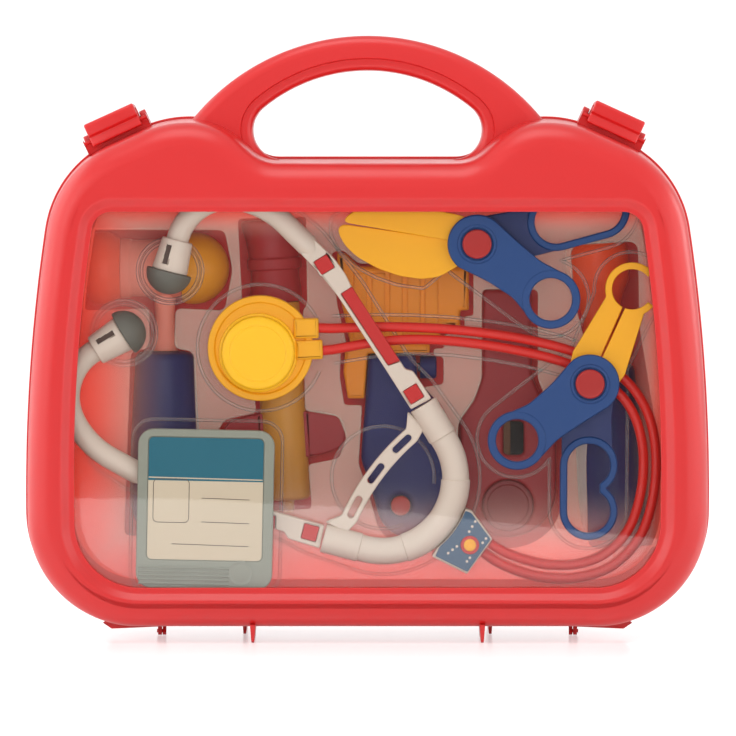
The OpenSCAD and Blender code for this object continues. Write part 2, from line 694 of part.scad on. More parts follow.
// The rivet's cap sits in a bore, with a shallow dish round it
rivet_r = 6.5;
rivet_seat_r = 7.3;
dish_r = 8.9;
dish_d = 0.5;
module front_lever() {
    difference() {
        extrude_between(lever_front, lever_front + lever_t) rotate(front_lever_turn) difference() {
            lever_ring_shape();
            translate([lever_len, 0]) circle(finger_r);
            circle(pivot_r + pin_play);
        }
        translate([0, 0, lever_front + lever_t - rivet_seat_d])
            cylinder(r = rivet_seat_r, h = rivet_seat_d + 1);
        translate([0, 0, lever_front + lever_t - dish_d]) cylinder(r = dish_r, h = dish_d + 1);
    }
}
function ring_points(c, r, a0, a1) = let (n = ceil(abs(a1 - a0) / 9))
    [for (k = [0 : n]) let (a = a0 + (a1 - a0) * k / n) c + r * [cos(a), sin(a)]];
// Back lever: boss, arm and a loop with two finger lobes; the notch lies between the lobes
loop_notch = 8;
lobe_near = [loop_at - loop_step / 2, 0];
lobe_far = [loop_at + loop_step / 2, 0];
module back_lever() {
    extrude_between(lever_back, lever_back + lever_t) rotate(back_lever_turn) difference() {
        polygon(concat(ring_points([0, 0], boss_r, 62, 268),
            ring_points(lobe_far, loop_r, -90, 180 - asin(loop_notch / loop_r)),
            ring_points(lobe_near, loop_r, asin(loop_notch / loop_r), 118), [[17, 10.2]]));
        loop_hole(loop_r - loop_bar, loop_notch - loop_bar);
        circle(pivot_r + pin_play);
    }
}
module loop_hole(r, notch) {
    polygon(concat(ring_points(lobe_far, r, -90, 180 - asin(notch / r)),
        ring_points(lobe_near, r, asin(notch / r), 270)));
}
module blade(w0, points) {
    extrude_between(w0, w0 + blade_t) difference() {
        polygon(points);
        circle(pivot_r + pin_play);
    }
}
// Riveted pin with its cap in front and its foot behind
foot_r = 6.4;
foot_t = 0.6;
module pivot() {
    translate([0, 0, cap_back]) rotate_extrude() polygon([[0, 0], [rivet_r, 0],
        [rivet_r, cap_t - 0.5], [rivet_r - 0.7, cap_t], [0, cap_t]]);
    translate([0, 0, lever_back - seat_gap - eps])
        cylinder(r = pivot_r, h = cap_back - lever_back + seat_gap + 2 * eps);
    translate([0, 0, lever_back - seat_gap - foot_t]) cylinder(r = foot_r, h = foot_t);
}

// The scissors' two blades meet along the x axis
blade_l = 62;
blade_boss_r = boss_r - 2;
cut_gap = 0.4;
lower_blade = concat(ring_points([0, 0], blade_boss_r, 62, 358), [[blade_l - 2, cut_gap],
    [blade_l, 2.4], [blade_l - 0.6, 5], [blade_l - 4, 9.6], [blade_l - 10, 13.8],
    [blade_l - 20, 17.6], [blade_l - 30, 19.4], [blade_l - 40, 19.4], [14, 17]]);
upper_blade = concat(ring_points([0, 0], blade_boss_r, 2, 290), [[10, -11.6], [blade_l - 40, -12],
    [blade_l - 24, -11.4], [blade_l - 12, -9], [blade_l - 5, -5.6], [blade_l - 2, -2],
    [blade_l - 3, -cut_gap]]);
module at_scissors() { face() at_tool(scissors_at, scissors_turn) children(); }
module scissors_front_lever() { color("royalblue") at_scissors() front_lever(); }
module scissors_back_lever() { color("navy") at_scissors() back_lever(); }
module scissors_front_blade() { color("gold") at_scissors() blade(blade_front, upper_blade); }
module scissors_back_blade() { color("gold") at_scissors() blade(blade_back, lower_blade); }
module scissors_pivot() { color("red") at_scissors() pivot(); }

// Each forceps jaw is a bar that ends in a part of a ring
jaw_ring = [46, 0];
jaw_ring_r = 12;
jaw_ring_hole = 8.9;
function jaw_points(end) = concat(ring_points([0, 0], blade_boss_r, 80, 361.5),
    ring_points(jaw_ring, jaw_ring_hole, 177, end), ring_points(jaw_ring, jaw_ring_r, end, 130),
    [[10, 12.6]]);
left_jaw = jaw_points(-28);
right_jaw = [for (p = reversed(jaw_points(104))) [p[0], -p[1]]];
module at_forceps() { face() at_tool(forceps_at, forceps_turn) children(); }
module forceps_front_lever() { color("royalblue") at_forceps() front_lever(); }
module forceps_back_lever() { color("navy") at_forceps() back_lever(); }
module forceps_front_jaw() { color("gold") at_forceps() blade(blade_front, right_jaw); }
module forceps_back_jaw() { color("gold") at_forceps() blade(blade_back, left_jaw); }
module forceps_pivot() { color("red") at_forceps() pivot(); }

// Badge holder with its card, leaning a little
badge_at = [-72.2, 59.2];
badge_turn = -1.2;
badge_r = 7;
card_w = 51;
card_h = 54.4;
card_up = 4.6;
card_t = 0.5;
module rounded(w, h, r) {
    square([w - 2 * r, h], center = true);
    square([w, h - 2 * r], center = true);
    for (x = [-1, 1], y = [-1, 1]) translate([x * (w / 2 - r), y * (h / 2 - r)]) circle(r);
}
module id_holder() {
    color("gray") face() translate([badge_at[0], badge_at[1], holder_back]) rotate(badge_turn)
        difference() {
            linear_extrude(badge_t) rounded(badge_w, badge_h, badge_r);
            translate([0, card_up, badge_t - 1]) linear_extrude(2)
                rounded(card_w + 2 * seat_gap, card_h + 2 * seat_gap, 2.4);
            for (i = [0 : 4]) translate([-badge_w / 2 + 1, -badge_h / 2 + 1.6 + 2 * i, badge_t - 0.5])
                cube([41, 0.8, 1]);
            translate([15.6, -badge_h / 2 + 4.6, badge_t - 0.5]) cylinder(r = 4.4, h = 1);
        }
}
module id_card() {
    color("ivory") face() translate([badge_at[0], badge_at[1], holder_back]) rotate(badge_turn)
        translate([0, card_up, badge_t - 1]) linear_extrude(card_t) rounded(card_w, card_h, 2.2);
}

// Rear instruments lie against the rear shell's inner face
rear_wall_w = -(shell_d - wall);
tool_back = rear_wall_w + seat_gap;
hammer_w = tool_back + 17;

// Reflex hammer, its handle upright
hammer_x = -92;
head_y = 165;
hammer_head_r = 13.6;
head_left = -20;
head_right = 7.7;
module upright(x, y, w) { translate([x, y, w]) rotate([-90, 0, 0]) children(); }
grip_profile = [[0, 0], [0.62, 0], [0.86, 2.5], [0.96, 8], [1, 20], [0.97, 40], [0.88, 62],
    [0.84, 74], [0.78, 78.5], [0, 79.6]];
module tool_grip() {
    rotate_extrude() polygon([for (p = grip_profile) [p[0] * grip_tool_r, p[1]]]);
}
module hammer_grip() { color("navy") face() upright(hammer_x, 47.7, hammer_w) tool_grip(); }
module hammer_neck() {
    color("white") face() {
        upright(hammer_x, 47.7 + 79.6 + seat_gap, hammer_w) cylinder(r1 = 5, r2 = 4, h = 26);
        translate([hammer_x + head_left, head_y, hammer_w]) rotate([0, 90, 0])
            cylinder(r = hammer_head_r, h = head_right - head_left);
    }
}
module hammer_face() {
    color("orange") face() translate([hammer_x + head_left - seat_gap / 2, head_y, hammer_w])
        rotate([0, -90, 0]) rotate_extrude() polygon([[0, 0], [hammer_head_r, 0], [14.6, 2],
            [16.4, 5], [16.8, 10], [15.4, 13.6], [12, 15.4], [0, 16.2]]);
}
module hammer_ball() {
    color("orange") face() translate([hammer_x + head_right + seat_gap / 2, head_y, hammer_w])
        rotate([0, 90, 0]) rotate_extrude() intersection() {
            translate([0, 5]) circle(16.4);
            square([20, 22]);
        }
}

// Syringe, nozzle down and leaning a little; the plunger is pulled upwards
syringe_at = [-36.2, 59.5];
syringe_turn = 3.3;
barrel_l = 90;
barrel_floor = 2.4;
nozzle_l = 6;
syringe_outer_r = syringe_bore_r + syringe_wall;
grip_r1 = 14.2;
syringe_w = tool_back + grip_r1;
flange_low = 19.2;
flange_h = 20.6;
flange_w = 57.4;
flange_t = 9;
plunger_rod_r = 5.4;
seal_low = 8;
seal_h = 8;
module at_syringe(up) {
    at_tool(syringe_at, syringe_turn) translate([0, 0, syringe_w]) rotate([-90, 0, 0])
        translate([0, 0, up]) children();
}
module syringe_barrel() {
    color("gold") face() at_syringe(0) difference() {
        union() {
            cylinder(r = syringe_outer_r, h = barrel_l);
            translate([0, 0, -nozzle_l]) cylinder(r1 = 2.2, r2 = 2.9, h = nozzle_l + 1);
        }
        translate([0, 0, barrel_floor]) cylinder(r = syringe_bore_r, h = barrel_l);
        translate([0, 0, -nozzle_l - 1]) cylinder(r = 1.2, h = nozzle_l + barrel_floor + 2);
    }
}
// Finger flange, a round-ended plate that sits on the barrel
module syringe_flange() {
    color("maroon") face() at_syringe(flange_low) difference() {
        intersection() {
            union() {
                translate([-flange_w / 2, -flange_t / 2, 0]) cube([flange_w, flange_t, flange_h]);
                cylinder(r = syringe_outer_r + 1.2, h = flange_h);
            }
            translate([0, 2 * flange_t, flange_h / 2]) rotate([90, 0, 0]) linear_extrude(5 * flange_t)
                polygon(concat(ring_points([0, 0], flange_w / 2, -24, 24),
                    ring_points([0, 0], flange_w / 2, 156, 204)));
        }
        translate([0, 0, -1]) cylinder(r = syringe_outer_r + pin_play, h = flange_h + 2);
        translate([-flange_w / 2, -3 * grip_r1, -1]) cube([flange_w, 3 * grip_r1 - flange_t / 2,
            flange_h + 2]);
    }
}
// Plunger: rod and a waisted thumb grip that rests on the barrel's end
module syringe_plunger() {
    color("firebrick") face() at_syringe(0) {
        translate([0, 0, seal_low + 2]) cylinder(r = plunger_rod_r, h = barrel_l - seal_low);
        translate([0, 0, barrel_l + seat_gap]) rotate_extrude() polygon([[0, 0], [11.4, 0],
            [11.8, 6], [10.8, 12], [11.2, 20], [12.4, 28], [grip_r1 - 0.4, 34], [grip_r1, 36.6],
            [grip_r1 - 1, 37.4], [0, 37.4]]);
    }
}
module syringe_seal() {
    color("black") face() at_syringe(seal_low) difference() {
        rotate_extrude() polygon([[0, -3], [syringe_bore_r - pin_play, 0],
            [syringe_bore_r - pin_play, 1.6], [syringe_bore_r - 1, 2.6], [syringe_bore_r - 1, 5.4],
            [syringe_bore_r - pin_play, 6.4], [syringe_bore_r - pin_play, seal_h], [0, seal_h]]);
        translate([0, 0, 2 - seat_gap / 2]) cylinder(r = plunger_rod_r + seat_gap / 2, h = seal_h);
    }
}

// Ear scope: flared handle, collar, stepped head and knob
scope_button_at = [15, 57.4];
scope_button_r = 4.4;
scope_button_d = 2;
scope_front = tool_back + 26;
module scope_handle() {
    color("navy") face() difference() {
        extrude_between(tool_back, scope_front) polygon([[-2.6, 84], [-3, 78], [0, 70], [6, 50],
            [12, 44], [22, 42], [37, 43], [43, 46.6], [43, 51], [41, 60], [39.6, 84], [32, 104],
            [22.6, 113.6], [22, 126], [0.5, 126], [-1, 104]]);
        at_button(scope_front - scope_button_d) cylinder(r = scope_button_r + pin_play, h = 5);
    }
}
module at_button(w) { translate([scope_button_at[0], scope_button_at[1], w]) children(); }
module scope_button() {
    color("red") face() at_button(scope_front - scope_button_d + pin_play)
        cylinder(r = scope_button_r, h = scope_button_d + 0.6);
}
module scope_collar() {
    color("gold") face() extrude_between(tool_back + 2, scope_front - 2)
        polygon([[-9, 106], [-1.4, 106], [0.1, 126.4], [28.2, 126.4], [28.2, 131], [-10, 131],
            [-11, 118]]);
}
module scope_head() {
    color("orange") face() difference() {
        extrude_between(tool_back + 1, scope_front) polygon([[-8, 131.4], [33, 131.4],
            [33, 138], [42, 138], [42, 146], [46, 146], [46, 166], [-4, 166], [-10, 172],
            [-14, 172], [-12, 150]]);
        for (x = [0, 8, 16, 24]) translate([x, 130, scope_front - 1]) cube([1.6, 34, 2]);
    }
}
module scope_knob() {
    color("midnightblue") face() translate([22.9, 119.8, (tool_back + scope_front) / 2])
        rotate([0, 90, 0]) rotate_extrude()
            polygon([[0, 0], [2, 0], [2, 1], [5.2, 1], [5.2, 7.8], [4.6, 8.5], [0, 8.5]]);
}

// Temperature gauge: a paddle with a round dial
gauge_front = tool_back + 12;
dial_at = [64, 56.6];
dial_r = 11.4;
dial_d = 1.6;
module at_dial(w) { translate([dial_at[0], dial_at[1], w]) children(); }
module gauge_body() {
    color("maroon") face() difference() {
        extrude_between(tool_back, gauge_front) polygon(concat([[86, 96], [79, 106],
            [74.8, 116], [74.8, 155], [52.6, 155], [52.6, 116], [49, 106], [42, 96]],
            ring_points([64, 64], 22, 180, 360)));
        at_dial(gauge_front - dial_d) cylinder(r = dial_r + pin_play, h = 3);
        translate([63.6, 82, gauge_front - 1]) linear_extrude(2) square([9, 14]);
    }
}
module gauge_dial() {
    color("brown") face() at_dial(gauge_front - dial_d + pin_play) difference() {
        cylinder(r = dial_r, h = dial_d + 0.2);
        translate([0, 0, 1]) cylinder(r = dial_r - 2, h = 2);
    }
}

// Examination torch in the lower right: grip, head and lens
torch_at = [116, 42];
torch_turn = 4;
module at_torch() {
    at_tool(torch_at, torch_turn) upright(0, 0, tool_back + grip_tool_r) children();
}
module torch_grip() {
    color("navy") face() at_torch() tool_grip();
}
module torch_head() {
    color("orange") face() at_torch() translate([0, 0, 79.6 + seat_gap]) rotate_extrude()
        polygon([[0, 0], [9, 0], [8, 18], [10, 30], [14, 38], [14.4, 52], [13, 55], [10.6, 55],
            [10.6, 52], [0, 52]]);
}
module torch_lens() {
    color("black") face() at_torch() translate([0, 0, 79.6 + 2 * seat_gap + 52]) rotate_extrude()
        polygon([[0, 0], [10.4, 0], [10.4, 1.6], [8, 3.2], [0, 4]]);
}

// Clear tray: its edge lies in the rear shell's rebate, and its sheet stands in front of it
tray_edge = 2.5;
tray_in = 12;
tray_draft = 2;
tray_top_in = tray_in + tray_draft;
tray_rings = [[tray_top_in + tray_t, tray_w - tray_t], [tray_in + tray_t, -rebate_w],
    [tray_edge, -rebate_w], [tray_edge, tray_t - rebate_w], [tray_in, tray_t - rebate_w],
    [tray_top_in, tray_w]];
// Seats that stand up from the sheet under the instruments
module seat(at, w) {
    translate([at[0], at[1], tray_w - eps]) cylinder(r = 1.6, h = w - seat_gap - tray_w + eps);
}
module tray_seats() {
    for (tool = [[scissors_at, scissors_turn], [forceps_at, forceps_turn]])
        at_tool(tool[0], tool[1]) {
            rotate(back_lever_turn) for (at = [[22, 0], [lobe_far[0], loop_bar / 2 - loop_r]])
                seat(at, lever_back);
            seat([30, 6], blade_back);
        }
    at_headset() for (a = [120, 180, 240]) rotate(a) translate([ring_r, 0, tray_w - eps])
        cylinder(r = 4, h = headset_w - ring_tube_r - sleeve_t - seat_gap - tray_w + eps);
    at_headset() mirrored_arms() for (at = [arm_knee, arm_far])
        translate([at[0], at[1], tray_w - eps])
            cylinder(r = 2.4, h = arm_low - seat_gap - tray_w + eps);
    for (x = [-26, 26]) translate([badge_at[0] + x, badge_at[1] - 27, tray_w - eps])
        cylinder(r = 3, h = holder_back - seat_gap - tray_w + eps);
}
// Round cups into which the ear tips sink
cup_d = 5;
module ear_cups(r, w0, w1) {
    at_headset() mirrored_arms() translate([tip_at[0], tip_at[1], w0]) cylinder(r = r, h = w1 - w0);
}
module clear_tray() {
    color("white", 0.4) face() difference() {
        union() {
            loft([for (s = tray_rings) case_ring(s)], false);
            tray_seats();
            ear_cups(tip_r + 3 * seat_gap + tray_t, tray_w - cup_d, tray_w - tray_t / 2);
        }
        ear_cups(tip_r + 3 * seat_gap, tray_w - cup_d + tray_t, tray_w + 1);
    }
}

front_shell();
window_pane();
rear_shell();
latch_left();
latch_right();
clear_tray();
headset_ring();
headset_bridge();
headset_arms();
ear_tubes();
ear_tips();
arm_inserts();
arm_strips();
headset_yoke();
badge_plate();
badge_stud();
chest_piece_base();
chest_piece_cap();
hose_upper();
hose_lower();
scissors_front_lever();
scissors_front_blade();
scissors_back_lever();
scissors_back_blade();
scissors_pivot();
forceps_front_lever();
forceps_front_jaw();
forceps_back_lever();
forceps_back_jaw();
forceps_pivot();
id_holder();
id_card();
hammer_grip();
hammer_neck();
hammer_face();
hammer_ball();
syringe_barrel();
syringe_flange();
syringe_plunger();
syringe_seal();
scope_handle();
scope_button();
scope_collar();
scope_head();
scope_knob();
gauge_body();
gauge_dial();
torch_grip();
torch_head();
torch_lens();
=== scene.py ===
import bpy
import numpy as np
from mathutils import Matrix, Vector
from mathutils.geometry import tessellate_polygon


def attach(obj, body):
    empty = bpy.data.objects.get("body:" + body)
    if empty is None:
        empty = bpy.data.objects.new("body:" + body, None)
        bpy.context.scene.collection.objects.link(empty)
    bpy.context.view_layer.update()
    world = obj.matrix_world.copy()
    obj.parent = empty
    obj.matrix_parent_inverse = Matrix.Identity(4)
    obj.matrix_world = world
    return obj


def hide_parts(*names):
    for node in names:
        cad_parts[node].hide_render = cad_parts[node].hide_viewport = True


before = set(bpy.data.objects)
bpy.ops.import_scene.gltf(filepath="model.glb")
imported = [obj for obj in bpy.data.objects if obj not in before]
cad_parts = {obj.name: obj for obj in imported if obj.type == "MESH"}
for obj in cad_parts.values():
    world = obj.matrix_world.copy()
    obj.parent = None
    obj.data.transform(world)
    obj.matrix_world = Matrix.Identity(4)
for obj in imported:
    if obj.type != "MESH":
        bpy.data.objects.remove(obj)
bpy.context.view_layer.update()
print("stage: frame loaded")

# Everything is drawn in the case's face, in millimetres: x to the right, y up, w from the parting
# plane to the front. toFrame turns that into the frame's metres.
view = {"eye": (0, -2.4, 0.23), "aim": (0.0002, 0, 0.1206), "lens": 261}


def addObject(name, data):  # an object made from its data, in the scene
    made = bpy.data.objects.new(name, data)
    bpy.context.collection.objects.link(made)
    return made


def setUp(thing, place, aim):  # stands a camera or a lamp at a place, turned to its aim
    thing.location = place
    thing.rotation_euler = (Vector(aim) - Vector(place)).to_track_quat("-Z", "Y").to_euler()


camera = addObject("camera", bpy.data.cameras.new("camera"))
setUp(camera, view["eye"], view["aim"])
camera.data.lens = view["lens"]
camera.data.sensor_width = 36
bpy.context.scene.camera = camera
bpy.context.scene.view_settings.view_transform = "Standard"


def toFrame(points):  # (x, y, w) in mm becomes (x, -w, y) in m
    p = np.asarray(points, float)
    return np.stack([p[..., 0], -p[..., 2], p[..., 1]], -1) / 1000


def build(name, part, look, body="rear_case", nodes=None):
    # makes one piece from points and faces in face millimetres, turned if it came out inside out; it
    # replaces the node of its own name unless told otherwise
    points, faces = part
    p = toFrame(points)
    # the signed volume: the sum over all triangles of a . (b x c)
    tri = np.array([(f[0], f[i], f[i + 1]) for f in faces for i in range(1, len(f) - 1)])
    if np.einsum("ij,ij->", p[tri[:, 0]], np.cross(p[tri[:, 1]], p[tri[:, 2]])) < 0:
        faces = [f[::-1] for f in faces]
    mesh = bpy.data.meshes.new(name)
    mesh.from_pydata(p.tolist(), [], faces)
    mesh.polygons.foreach_set("use_smooth", np.ones(len(faces), bool))
    mesh.set_sharp_from_angle(angle=np.radians(36))
    piece = addObject(name, mesh)
    slot, material = looks[look]
    mesh.materials.append(material)
    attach(piece, body)
    replaced = (name,) if nodes is None else nodes
    if replaced:
        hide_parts(*replaced)
    return piece


def skin(rings, joined=False):
    # joins neighbouring rings of points with quads; the two ends are closed with fans unless joined
    m, n, _ = rings.shape
    i, k = np.meshgrid(np.arange(m if joined else m - 1), np.arange(n), indexing="ij")
    a, b, j = i * n, (i + 1) % m * n, (k + 1) % n
    faces = np.stack([a + k, b + k, b + j, a + j], -1).reshape(-1, 4).tolist()
    points = rings.reshape(-1, 3)
    if not joined:
        points = np.vstack([points, rings[0].mean(0), rings[-1].mean(0)])
        r, e = np.arange(n), (m - 1) * n
        faces += np.stack([r, (r + 1) % n, 0 * r + m * n], 1).tolist()
        faces += np.stack([(r + 1) % n + e, r + e, 0 * r + m * n + 1], 1).tolist()
    return points, faces


def way(angle):  # the unit vector at an angle in degrees, (cosine, sine)
    a = np.radians(angle)
    return np.stack([np.cos(a), np.sin(a)], -1)


def sine(a):  # of an angle in degrees
    return way(a)[..., 1]


def arc(centre, r, a0, a1, step=6):  # points of a circle from angle a0 to a1, in degrees
    return np.asarray(centre) + r * way(np.linspace(a0, a1, int(abs(a1 - a0) / step) + 2))


def hole(centre, r, end=350, step=10):  # a circle that runs the other way
    return arc(centre, r, end, 0, step)


def atDepth(line, w):  # flat points, all at one depth
    return np.column_stack([line, np.full(len(line), w)])


def soften(line, radius, closed=False, steps=4):
    # each corner becomes a quadratic curve that starts and ends radius away from it
    p = np.asarray(line, float)
    r = np.broadcast_to(np.asarray(radius, float), len(p))[:, None]
    ends = []
    for q in (np.roll(p, 1, 0), np.roll(p, -1, 0)):
        gap = np.linalg.norm(q - p, axis=1, keepdims=True)
        ends.append(p + (q - p) * np.minimum(r / np.maximum(gap, 1e-9), 0.45))
    t = np.linspace(0, 1, steps + 1)[None, :, None]
    curve = (1 - t) ** 2 * ends[0][:, None] + 2 * t * (1 - t) * p[:, None] + t ** 2 * ends[1][:, None]
    out = curve.reshape(-1, 2) if closed else np.vstack([p[:1], curve[1:-1].reshape(-1, 2), p[-1:]])
    gap = np.linalg.norm(out - np.roll(out, -1, 0), axis=1)
    return out[gap > 0.01] if closed else out[np.append(gap[:-1] > 0.01, True)]


def inset(loop, d):
    # every point moves d to the left of the loop's direction, along the bisector of its two edges
    e = np.roll(loop, -1, 0) - loop
    n = np.stack([-e[:, 1], e[:, 0]], 1) / np.linalg.norm(e, axis=1, keepdims=True)
    before = np.roll(n, 1, 0)
    lean = np.maximum(1 + (n * before).sum(1, keepdims=True), 0.4)
    return loop + d * (n + before) / lean


def plate(loops, low, high, edge=0.5, steps=3):
    # a flat piece: its outer loop runs left-handed round the material and each hole the other way; its rims
    # are quarter circles of radius edge, inset edge * (1 - sine) at a depth of edge * (1 - cosine)
    down = [(edge * (1 - v), low + edge * (1 - u)) for u, v in way(np.linspace(0, 90, steps + 1))]
    rows = [(edge + 0.15, low)] + down + [(d, low + high - w) for d, w in down[::-1]] + [(edge + 0.15, high)]
    points, faces, at, rims = [], [], 0, []
    for loop in loops:
        loop = np.asarray(loop, float)
        n = len(loop)
        rings = np.array([atDepth(inset(loop, d), w) for d, w in rows])
        i, k = np.meshgrid(np.arange(len(rows) - 1), np.arange(n), indexing="ij")
        a0, j = at + i * n, (k + 1) % n
        faces += np.stack([a0 + k, a0 + j, a0 + n + j, a0 + n + k], -1).reshape(-1, 4).tolist()
        points.append(rings.reshape(-1, 3))
        rims.append((at, at + (len(rows) - 1) * n, n, rings[0][:, :2]))
        at += len(rows) * n
    flat = np.vstack([r[3] for r in rims])
    tri = np.array(tessellate_polygon([[Vector((x, y, 0)) for x, y in r[3]] for r in rims]))
    u, v = flat[tri[:, 1]] - flat[tri[:, 0]], flat[tri[:, 2]] - flat[tri[:, 0]]
    turned = u[:, 0] * v[:, 1] - u[:, 1] * v[:, 0] < 0
    tri[turned] = tri[turned][:, ::-1]
    lowIndex = np.concatenate([np.arange(n) + a for a, b, n, _ in rims])
    highIndex = np.concatenate([np.arange(n) + b for a, b, n, _ in rims])
    faces += highIndex[tri].tolist() + lowIndex[tri[:, ::-1]].tolist()
    return np.vstack(points), faces


def along(path, gap=1.0):  # the same path with a point every gap mm
    path = np.asarray(path, float)
    run = np.append(0, np.cumsum(np.linalg.norm(np.diff(path, axis=0), axis=1)))
    s = np.linspace(0, run[-1], int(run[-1] / gap) + 2)
    return np.stack([np.interp(s, run, path[:, k]) for k in range(path.shape[1])], 1)


def curved(points, steps=8):  # Catmull-Rom curve through the points
    p = np.asarray(points, float)
    p = np.vstack([2 * p[0] - p[1], p, 2 * p[-1] - p[-2]])
    t = (np.arange(steps) / steps)[None, :, None]
    a, b, c, d = (p[k:len(p) - 3 + k, None] for k in range(4))
    curve = 0.5 * (2 * b + (c - a) * t + (2 * a - 5 * b + 4 * c - d) * t ** 2
                   + (3 * b - a - 3 * c + d) * t ** 3)
    return np.vstack([curve.reshape(-1, p.shape[1]), p[-2:-1]])


def tube(path, radius, sides=28):
    # a circle carried along the path, across its direction; radius may change from point to point
    path = np.asarray(path, float)
    step = np.diff(path, axis=0)
    size = np.linalg.norm(step, axis=1, keepdims=True)
    step /= size
    t = np.vstack([step[:1], step[:-1] * size[1:] + step[1:] * size[:-1], step[-1:]])
    t /= np.linalg.norm(t, axis=1, keepdims=True)
    u = np.cross(t, [0, 0, 1])
    u /= np.linalg.norm(u, axis=1, keepdims=True)
    v = np.cross(u, t)
    r = np.broadcast_to(np.asarray(radius, float), len(path))[:, None, None]
    return skin(path[:, None] + r * (way(360 * np.arange(sides) / sides) @ np.stack([u, v], 1)))


def lathe(profile, origin=(0, 0, 0), axis=(0, 0, 1), sides=64, hollow=False):
    # (radius, height) pairs turned about the axis through the origin; a hollow one is a closed section
    p = np.asarray(profile, float)
    axis = np.asarray(axis, float) / np.linalg.norm(axis)
    u = np.cross(axis, [0, 0, 1] if abs(axis[2]) < 0.9 else [1, 0, 0])
    u /= np.linalg.norm(u)
    spokes = way(360 * np.arange(sides) / sides) @ [u, np.cross(axis, u)]
    return skin(np.asarray(origin, float) + p[:, 1, None, None] * axis + p[:, 0, None, None] * spokes, hollow)


def turnedTo(loop, at, turn):  # flat points turned by an angle and moved to at
    c, s = way(turn)
    return np.asarray(loop) @ [[c, s], [-s, c]] + at


def placed(part, at, turn):  # the same for a whole part
    return np.column_stack([turnedTo(part[0][:, :2], at, turn), part[0][:, 2]]), part[1]


def mirrored(part, x=-1, y=1):  # x and y times -1 or 1, with each face run backwards
    return part[0] * [x, y, 1], [f[::-1] for f in part[1]]


def joinedUp(*parts):  # several (points, faces) as one
    points, faces, at = [], [], 0
    for p, f in parts:
        points.append(p)
        faces += [[i + at for i in face] for face in f]
        at += len(p)
    return np.vstack(points), faces


# Finishes
def rgb(r, g, b):  # screen colour, 0 to 255, as linear light
    c = np.array([r, g, b]) / 255
    return tuple(np.where(c <= 0.04045, c / 12.92, ((c + 0.055) / 1.055) ** 2.4)) + (1,)


def newMaterial(name):  # a material and its shader nodes
    m = bpy.data.materials.new(name)
    m.use_nodes = True
    return m, m.node_tree


def wire(made, inputs):  # gives a shader node's inputs their values, plain ones or other nodes' outputs
    for key, value in inputs.items():
        if isinstance(value, bpy.types.NodeSocket):
            made.id_data.links.new(value, made.inputs[key])
        else:
            made.inputs[key].default_value = value


def node(tree, kind, output, inputs=None, **settings):  # a new shader node; returns the named output
    made = tree.nodes.new("ShaderNode" + kind)
    for key, value in settings.items():
        setattr(made, key, value)
    wire(made, inputs or {})
    return made.outputs[output]


def mixShader(tree, factor, first, second):  # two shaders blended by a factor
    return node(tree, "MixShader", "Shader", {"Fac": factor, 1: first, 2: second})


def largest(tree, levels):  # the greatest of several shader values
    best = levels[0]
    for level in levels[1:]:
        best = node(tree, "Math", "Value", {0: best, 1: level}, operation="MAXIMUM")
    return best


def ramp(tree, axis, x0, x1, y0, y1):
    # a smooth step along an axis of the object's own coordinates, from y0 at x0 to y1 at x1
    where = node(tree, "SeparateXYZ", axis, {"Vector": node(tree, "TexCoord", "Object")})
    span = {"Value": where, "From Min": x0, "From Max": x1, "To Min": y0, "To Max": y1}
    return node(tree, "MapRange", "Result", span, interpolation_type="SMOOTHSTEP")


# Sizes in metres of the clouds in tone and gloss and of the fine grain, its depth, and the gloss's spread
surface = {"tone": 0.05, "shine": 0.012, "grain": 0.0006, "deep": 0.0002, "uneven": 0.06}


def plastic(slot, colour, rough=0.35, grain=0.05, mottle=0.02, glow=0.0):
    # moulded plastic: a slow change of tone, roughness that varies in clouds, and a fine skin
    m, tree = newMaterial(slot)
    where = node(tree, "TexCoord", "Object")

    def noise(size, detail):  # clouds of a size in metres
        return node(tree, "TexNoise", "Fac", {"Vector": where, "Scale": 1 / size, "Detail": detail})

    low, high = ((*np.clip(np.array(rgb(*colour)[:3]) * k, 0, 1), 1) for k in (1 - mottle, 1 + mottle))
    tone = {"Factor": noise(surface["tone"], 2), "A": low, "B": high}
    shine = {"Value": noise(surface["shine"], 3), "To Min": max(rough - surface["uneven"], 0.02),
             "To Max": rough + surface["uneven"]}
    bump = {"Height": noise(surface["grain"], 1), "Strength": grain, "Distance": surface["deep"]}
    inputs = {"Base Color": node(tree, "Mix", "Result", tone, data_type="RGBA"),
              "Roughness": node(tree, "MapRange", "Result", shine),
              "Normal": node(tree, "Bump", "Normal", bump)}
    if glow:
        inputs |= {"Subsurface Weight": glow, "Subsurface Radius": (1, 0.3, 0.2), "Subsurface Scale": 0.004}
    wire(tree.nodes["Principled BSDF"], inputs)
    return slot, m


# Painted light in the sheet beside the red walls, for the shell's red light: colour, milk, glow, and per side
# (axis, none, full) in metres
paintedWallGlow = {
    "colour": rgb(255, 84, 68), "veil": 0.24, "lit": 0.34,
    "sides": (("X", -0.085, -0.13), ("X", 0.118, 0.134), ("Z", 0.178, 0.194), ("Z", 0.07, 0.028)),
}
clear = {"ior": 1.45, "blend": 0.3, "power": 1.3}


def wallNearness(tree):  # 0 in the middle of the sheet, 1 beside the shell's walls
    levels = []
    for axis, none, full in paintedWallGlow["sides"]:
        levels.append(ramp(tree, axis, min(none, full), max(none, full), float(full < none), float(full > none)))
    return largest(tree, levels)


